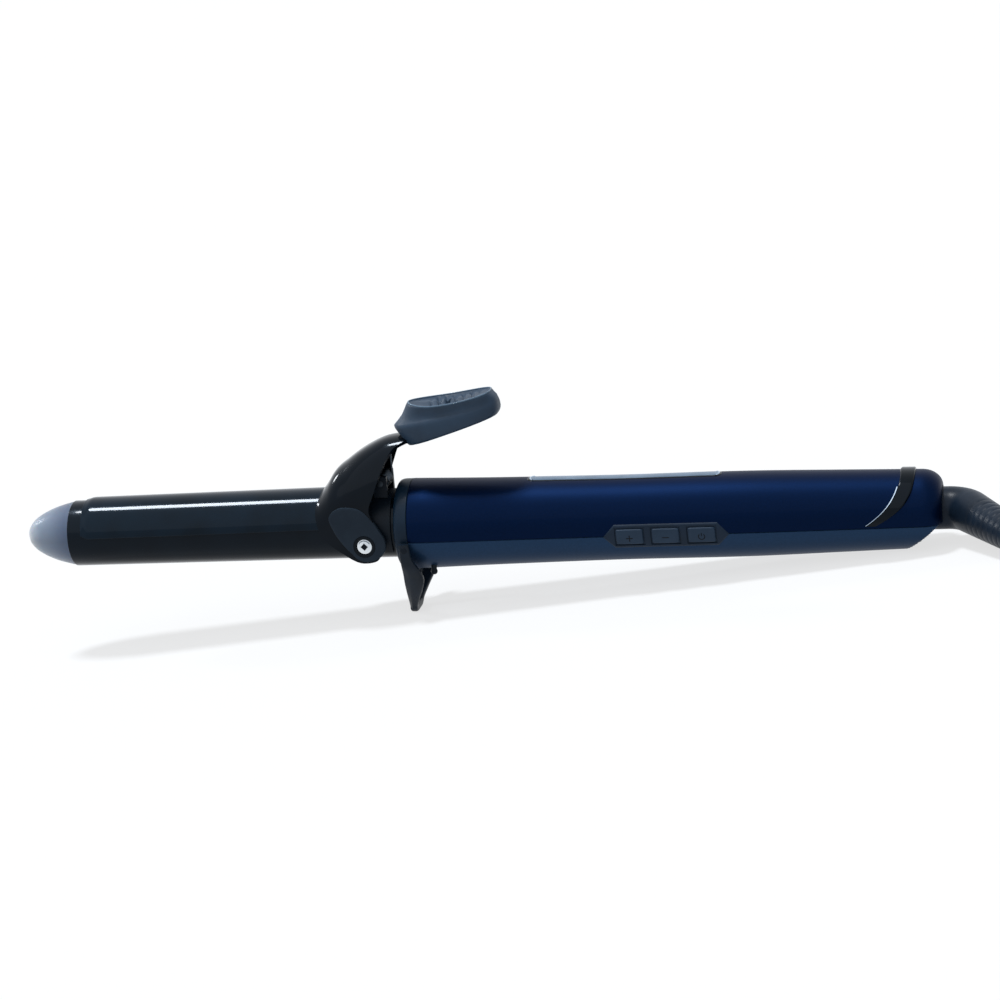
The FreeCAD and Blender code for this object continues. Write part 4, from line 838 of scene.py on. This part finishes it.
def rim(distance, width, proud, sunk=0.35):
    """A rounded shoulder: a quarter circle from sunk below the skin up to its proud height."""
    t = np.clip(distance / width, 0, 1)
    return -sunk + (proud + sunk) * np.sqrt(1 - (1 - t)**2)


# X of the keys' middles; the panel's ends and half-height; a key's half-size; and how far the
# panel, the floor of its pits and the keys' tops stand out from the grip, all in mm.
KEYS = (83.2, 96.5, 109.8)
PANEL_FRONT, PANEL_REAR, PANEL_HALF, PANEL_POINT = 73.2, 120.0, 4.7, 4.3
KEY_LONG, KEY_TALL, KEY_GAP = 5.2, 3.2, 0.25
PANEL_PROUD, PIT_FLOOR, KEY_PROUD = 0.5, 0.10, 0.95


def make_panel():
    """A hexagonal pad on the seam, its shoulder rounded, with a pit for each key."""
    marks = [73.2, 73.3, 73.6, 74.2]
    for key in KEYS:
        marks += [key - 5.55, key - 5.45, key + 5.45, key + 5.55]
    x = np.unique(np.concatenate([marks, np.linspace(PANEL_FRONT, PANEL_REAR, 150),
                                  PANEL_REAR - (np.array(marks[:4]) - PANEL_FRONT)]))
    h = np.unique(np.concatenate([np.linspace(-PANEL_HALF, PANEL_HALF, 49),
                                  [-3.55, -3.45, 3.45, 3.55, -4.6, -4.65, 4.6, 4.65]]))
    x, h = np.meshgrid(x, h, indexing="ij")
    start = PANEL_FRONT + PANEL_POINT * np.abs(h) / PANEL_HALF
    end = PANEL_REAR - PANEL_POINT * np.abs(h) / PANEL_HALF
    inner_left, inner_right = 77.6, 115.6
    moved = np.where(x < inner_left, start + (x - PANEL_FRONT) / (inner_left - PANEL_FRONT)
                     * (inner_left - start), x)
    moved = np.where(x > inner_right, end - (PANEL_REAR - x) / (PANEL_REAR - inner_right)
                     * (end - inner_right), moved)
    edge = np.minimum(np.minimum(moved - start, end - moved) * 0.74, PANEL_HALF - np.abs(h))
    out = rim(edge, 0.7, PANEL_PROUD)
    for key in KEYS:
        pit = ((1 - step(KEY_LONG + KEY_GAP, 0.1, np.abs(moved - key)))
               * (1 - step(KEY_TALL + KEY_GAP, 0.1, np.abs(h))))
        out = out + (PIT_FLOOR - out) * pit
    grid = on_side(moved, h, out)
    piece("key_panel", rest(grid), "iron", panel_rubber, "rubber", ["button_panel"], crease=40)


def make_keys():
    """Three pillow-topped keys that fill the panel's pits but for a fine gap."""
    for key, node, body in zip(KEYS, ("button_plus", "button_minus", "button_power"),
                               ("plus_key", "minus_key", "power_key")):
        u = np.concatenate([np.linspace(-1, -0.8, 9), np.linspace(-0.75, 0.75, 24),
                            np.linspace(0.8, 1, 9)])
        a, b = np.meshgrid(u, u, indexing="ij")
        round_x = a * (1 - 0.06 * b**8)
        round_h = b * (1 - 0.10 * a**8)
        x, h = key + KEY_LONG * round_x, KEY_TALL * round_h
        edge = np.minimum(KEY_LONG * (1 - np.abs(a)), KEY_TALL * (1 - np.abs(b)))
        out = rim(edge, 0.55, KEY_PROUD, 1.55) + 0.12 * (1 - a**2) * (1 - b**2)
        name = node + "_cap"
        piece(name, rest(on_side(x, h, out)), body, key_rubber, "rubber", [node], crease=40)


def stroke(name, x, h, key_body, wide):
    """A printed stroke: a thin ribbon of that width along points on a key's top."""
    line = np.stack([x, h], -1)
    way = np.gradient(line, axis=0)
    way /= np.linalg.norm(way, axis=1)[:, None]
    side = np.stack([-way[:, 1], way[:, 0]], -1)[:, None] * (wide / 2)
    across = line[:, None] + side * np.array([-1.0, -0.8, 0.8, 1.0])[None, :, None]
    out = np.array([1.04, 1.105, 1.105, 1.04])[None]
    grid = on_side(across[..., 0], across[..., 1], out + 0 * across[..., 0])
    piece(name, rest(grid), key_body, sign_ink, "rubber", crease=60)


def make_signs():
    """Plus, minus and the common power sign, printed a little below each key's middle."""
    low = -0.55
    t = np.linspace(-1, 1, 12)
    stroke("sign_plus_bar", KEYS[0] + 1.25 * t, low + 0 * t, "plus_key", 0.42)
    stroke("sign_plus_post", KEYS[0] + 0 * t, low + 1.25 * t, "plus_key", 0.42)
    stroke("sign_minus_bar", KEYS[1] + 1.25 * t, low + 0 * t, "minus_key", 0.42)
    swing = np.radians(np.linspace(130, 410, 40))
    stroke("sign_power_ring", KEYS[2] + 1.15 * np.cos(swing), low + 1.15 * np.sin(swing),
           "power_key", 0.34)
    stroke("sign_power_post", KEYS[2] + 0 * t, low + 0.85 + 0.6 * t, "power_key", 0.34)


def on_top(x, y, out):
    """Points of the grip's top that far out from its skin, at X and at Y from the middle."""
    radius = skin(x) + out
    return np.stack([x, y, np.sqrt(np.maximum(radius**2 - y**2, 1))], -1)


def display_strip(name, material, grow, proud, replaces=()):
    """A domed bar over the grip's top, grown all round: the skin's radius plus a rounded rim."""
    u = np.concatenate([np.linspace(0, 0.06, 24)[:-1], np.linspace(0.06, 0.94, 60),
                        np.linspace(0.94, 1, 24)[1:]])
    v = np.concatenate([np.linspace(-1, -0.75, 8)[:-1], np.linspace(-0.75, 0.75, 14),
                        np.linspace(0.75, 1, 8)[1:]])
    a, b = np.meshgrid(u, v, indexing="ij")
    start, end, half = 44.6 - grow, 115.9 + grow, 2.65 + grow
    x = start + (end - start) * a
    near = np.minimum(x - start, end - x)
    narrow = np.sqrt(1 - (1 - np.clip((near + 0.02) / 2.2, 0, 1))**2)
    y = half * b * (0.02 + 0.98 * narrow)
    edge = np.minimum(near, half - np.abs(b) * half)
    out = rim(edge, 0.45, proud, 0.3)
    piece(name, rest(on_top(x, y, out)), "iron", material, "window", replaces, crease=45)


def make_window():
    display_strip("display_frame", black_gloss, 0.75, 0.12)
    display_strip("display_strip", silver_mask, 0.0, 0.24, ["display_window"])
    t = np.linspace(-1, 1, 14)
    for name, x, bend in (("display_end_front", 45.6, -1.0), ("display_end_rear", 115.0, 1.0)):
        line = np.stack([x + bend * (t**2 - 0.5) * -1.1, -2.6 * t], -1)
        side = np.array([-0.35, 0.0, 0.35])[None]
        grid = on_top(line[:, :1] + side, line[:, 1:] + 0 * side,
                      np.array([0.2, 0.42, 0.2])[None] + 0 * line[:, :1])
        piece(name, rest(grid), "iron", bright_trim_and_painted_highlight, "window", crease=60)


# ------------------------------------------------------------------------------ stand

# The stand's bar seen from its side, in mm: X of its front and rear edges against the height.
LEG_FRONT = ([-34, -28, -20, -14, -8, -2.6], [-4.2, -3.9, -3.4, -2.9, -2.9, -3.1])
LEG_REAR = ([-34, -31, -27, -22, -17.5, -13, -9, -2.6], [-1.2, -1.0, 0.6, 3.0, 4.4, 3.4, 1.6, 0.6])


def make_stand():
    """A yoke in one piece: straps on the collar's sides, arms that run in to a narrow foot.

    Rows run from one strap over the foot to the other. A row is the outline of a rounded bar
    whose middle follows the arm, thin across the arm and as deep as the leg along X. A ridge runs
    down the outer face, between a narrow front band and the flank behind it.
    """
    deg = np.linspace(-1, 1, 181)
    size = np.abs(deg)
    knots = [0, 0.05, 0.10, 0.16, 0.3, 0.55, 0.72, 0.80, 0.90, 1.0]
    drop = through(knots, [-32.0, -32.0, -31.6, -29.4, -24.6, -16.6, -10.9, -8.3, -5.0, -2.8], size)
    wide = through(knots, [0.0, 2.6, 4.3, 5.9, 9.6, 14.9, 17.9, 18.4, 18.4, 18.4],
                   size) * np.sign(deg)
    front, back = through(*LEG_FRONT, drop), through(*LEG_REAR, drop)
    way = np.gradient(np.stack([wide, drop], -1), axis=0)
    way /= np.linalg.norm(way, axis=1)[:, None]
    out = np.stack([way[:, 1], -way[:, 0]], -1)
    thick = through([0, 0.1, 0.3, 0.8, 1.0], [1.6, 1.6, 1.4, 1.08, 1.08], size)
    swing = np.linspace(0, 2 * math.pi, 56, endpoint=False)[None]
    along = lobe(np.cos(swing), 3.8)
    across = lobe(np.sin(swing), 3.2) * thick[:, None]
    # Outside the ridge, a third of the way back, the face falls away to the front edge.
    leg = step(-9, -6, drop)[:, None] * (size > 0.12)[:, None]
    ridge = np.clip((-0.30 - along) / 0.7, 0, 1)
    across = across * (1 - 0.75 * ridge * leg)
    x = ((front + back) / 2)[:, None] + ((back - front) / 2)[:, None] * along
    y = wide[:, None] + out[:, 0][:, None] * across
    z = drop[:, None] + out[:, 1][:, None] * across
    z = np.maximum(z, -33.5 + math.tan(TIP_UP) * (x + 2.4))
    grid = np.stack([x, np.clip(y, -19.5, 19.5), z], -1)
    piece("fold_stand", rest(grid), "stand", stand_black, "black_plastic", ["stand"], crease=35,
          around=True, ends=True)


def make_stand_pins():
    """Small rivet heads flush on the straps, and the two domed stops under the handle."""
    swing = np.linspace(0, 2 * math.pi, 40, endpoint=False)[None]
    for name, side in (("stand_pivot_near", -1), ("stand_pivot_far", 1)):
        profile = rounded([(0.0, 19.75), (0.9, 19.75, 0.2), (1.25, 19.6, 0.2), (1.25, 19.0)], 6)
        radius = profile[:, :1]
        grid = stacked(-1.2 - radius * np.sin(swing), side * profile[:, 1:],
                       -5.0 + radius * np.cos(swing))
        piece(name, rest(grid), "iron", satin_black, "steel", ["stand_pins"] if side < 0 else [],
              crease=40, around=True)
    bow = np.linspace(0, 0.6 * math.pi, 16)
    profile = np.concatenate([np.stack([1.25 * np.sin(bow), 16.25 + 1.25 * np.cos(bow)], -1),
                              [[1.05, 15.5], [1.05, 13.6]]])
    for name, side in (("fold_stop_near", -1), ("fold_stop_far", 1)):
        radius = profile[:, :1]
        grid = stacked(7.4 + radius * np.cos(swing), 9.0 * side + radius * np.sin(swing),
                       -profile[:, 1:])
        piece(name, rest(grid), "iron", satin_black, "black_plastic",
              ["stand_stops"] if side < 0 else [], crease=40, around=True)


# ------------------------------------------------------------------------------ stage

def seen_directly(tree):
    """1 for rays from the camera, from a mirror-like surface or through glass, 0 for others."""
    rays = add(tree, "ShaderNodeLightPath")
    seen = rays.outputs["Is Camera Ray"]
    for kind in ("Is Glossy Ray", "Is Transmission Ray"):
        either = add(tree, "ShaderNodeMath", {"operation": "MAXIMUM"})
        tree.links.new(seen, either.inputs[0])
        tree.links.new(rays.outputs[kind], either.inputs[1])
        seen = either.outputs[0]
    return seen


# Name, way to the light in the scene's frame, its spread in degrees and its strength.
LAMPS = (("ceiling_light", (-0.2, 0.09, 0.97), 11.0, 2.3),
         ("window_light", (-0.15, -0.55, 0.82), 75.0, 0.65),
         ("rear_light", (-0.78, 0.40, 0.49), 7.0, 0.45))


def make_stage():
    """A pale floor that keeps the shadow, a white world and three lights from above.

    Floor and world are brighter to the camera and in reflections than as light on the iron.
    """
    size = 60.0
    floor = bpy.data.meshes.new("floor")
    floor.from_pydata([(-size, -size, 0), (size, -size, 0), (size, size, 0), (-size, size, 0)], [],
                      [(0, 1, 2, 3)])
    made, tree, shader = base("matt_white_table", Roughness=0.9, Specular_IOR_Level=0.0)
    shader.inputs["Base Color"].default_value = linear("8F9193")
    level = add(tree, "ShaderNodeMapRange", {"To Min": 0.3, "To Max": 0.7},
                {"Value": seen_directly(tree)})
    glow = add(tree, "ShaderNodeEmission", {"Color": (1, 1, 1, 1)}, {"Strength": level.outputs[0]})
    both = add(tree, "ShaderNodeAddShader")
    tree.links.new(shader.outputs["BSDF"], both.inputs[0])
    tree.links.new(glow.outputs["Emission"], both.inputs[1])
    out = next(n for n in tree.nodes if n.type == "OUTPUT_MATERIAL")
    tree.links.new(both.outputs[0], out.inputs["Surface"])
    floor.materials.append(made)
    table = bpy.data.objects.new("floor", floor)
    bpy.context.collection.objects.link(table)
    world = bpy.data.worlds.new("studio")
    world.use_nodes = True
    bpy.context.scene.world = world
    tree = world.node_tree
    ground = next(n for n in tree.nodes if n.type == "BACKGROUND")
    ground.inputs["Color"].default_value = (0.93, 0.96, 1.0, 1)
    level = add(tree, "ShaderNodeMapRange", {"To Min": 0.2, "To Max": 1.0},
                {"Value": seen_directly(tree)})
    tree.links.new(level.outputs[0], ground.inputs["Strength"])
    for name, towards, spread, strength in LAMPS:
        lamp = bpy.data.lights.new(name, "SUN")
        lamp.angle, lamp.energy, lamp.color = math.radians(spread), strength, (0.96, 0.98, 1.0)
        thing = bpy.data.objects.new(name, lamp)
        thing.rotation_euler = Vector(towards).to_track_quat("Z", "Y").to_euler()
        bpy.context.collection.objects.link(thing)
    bpy.context.scene.view_settings.view_transform = "Standard"


make_camera()
dress_cad_nodes()
cord, cord_points = make_cord()
make_boot()
strap = make_tie()
plug = make_plug()
prongs = make_prongs()
make_barrel()
make_tip()
make_clip()
make_lever()
make_ears()
make_screw_heads()
make_pad()
make_shells()
make_collar()
make_band()
make_panel()
make_keys()
make_signs()
make_window()
make_stand()
make_stand_pins()
make_stage()
route_length(cord)
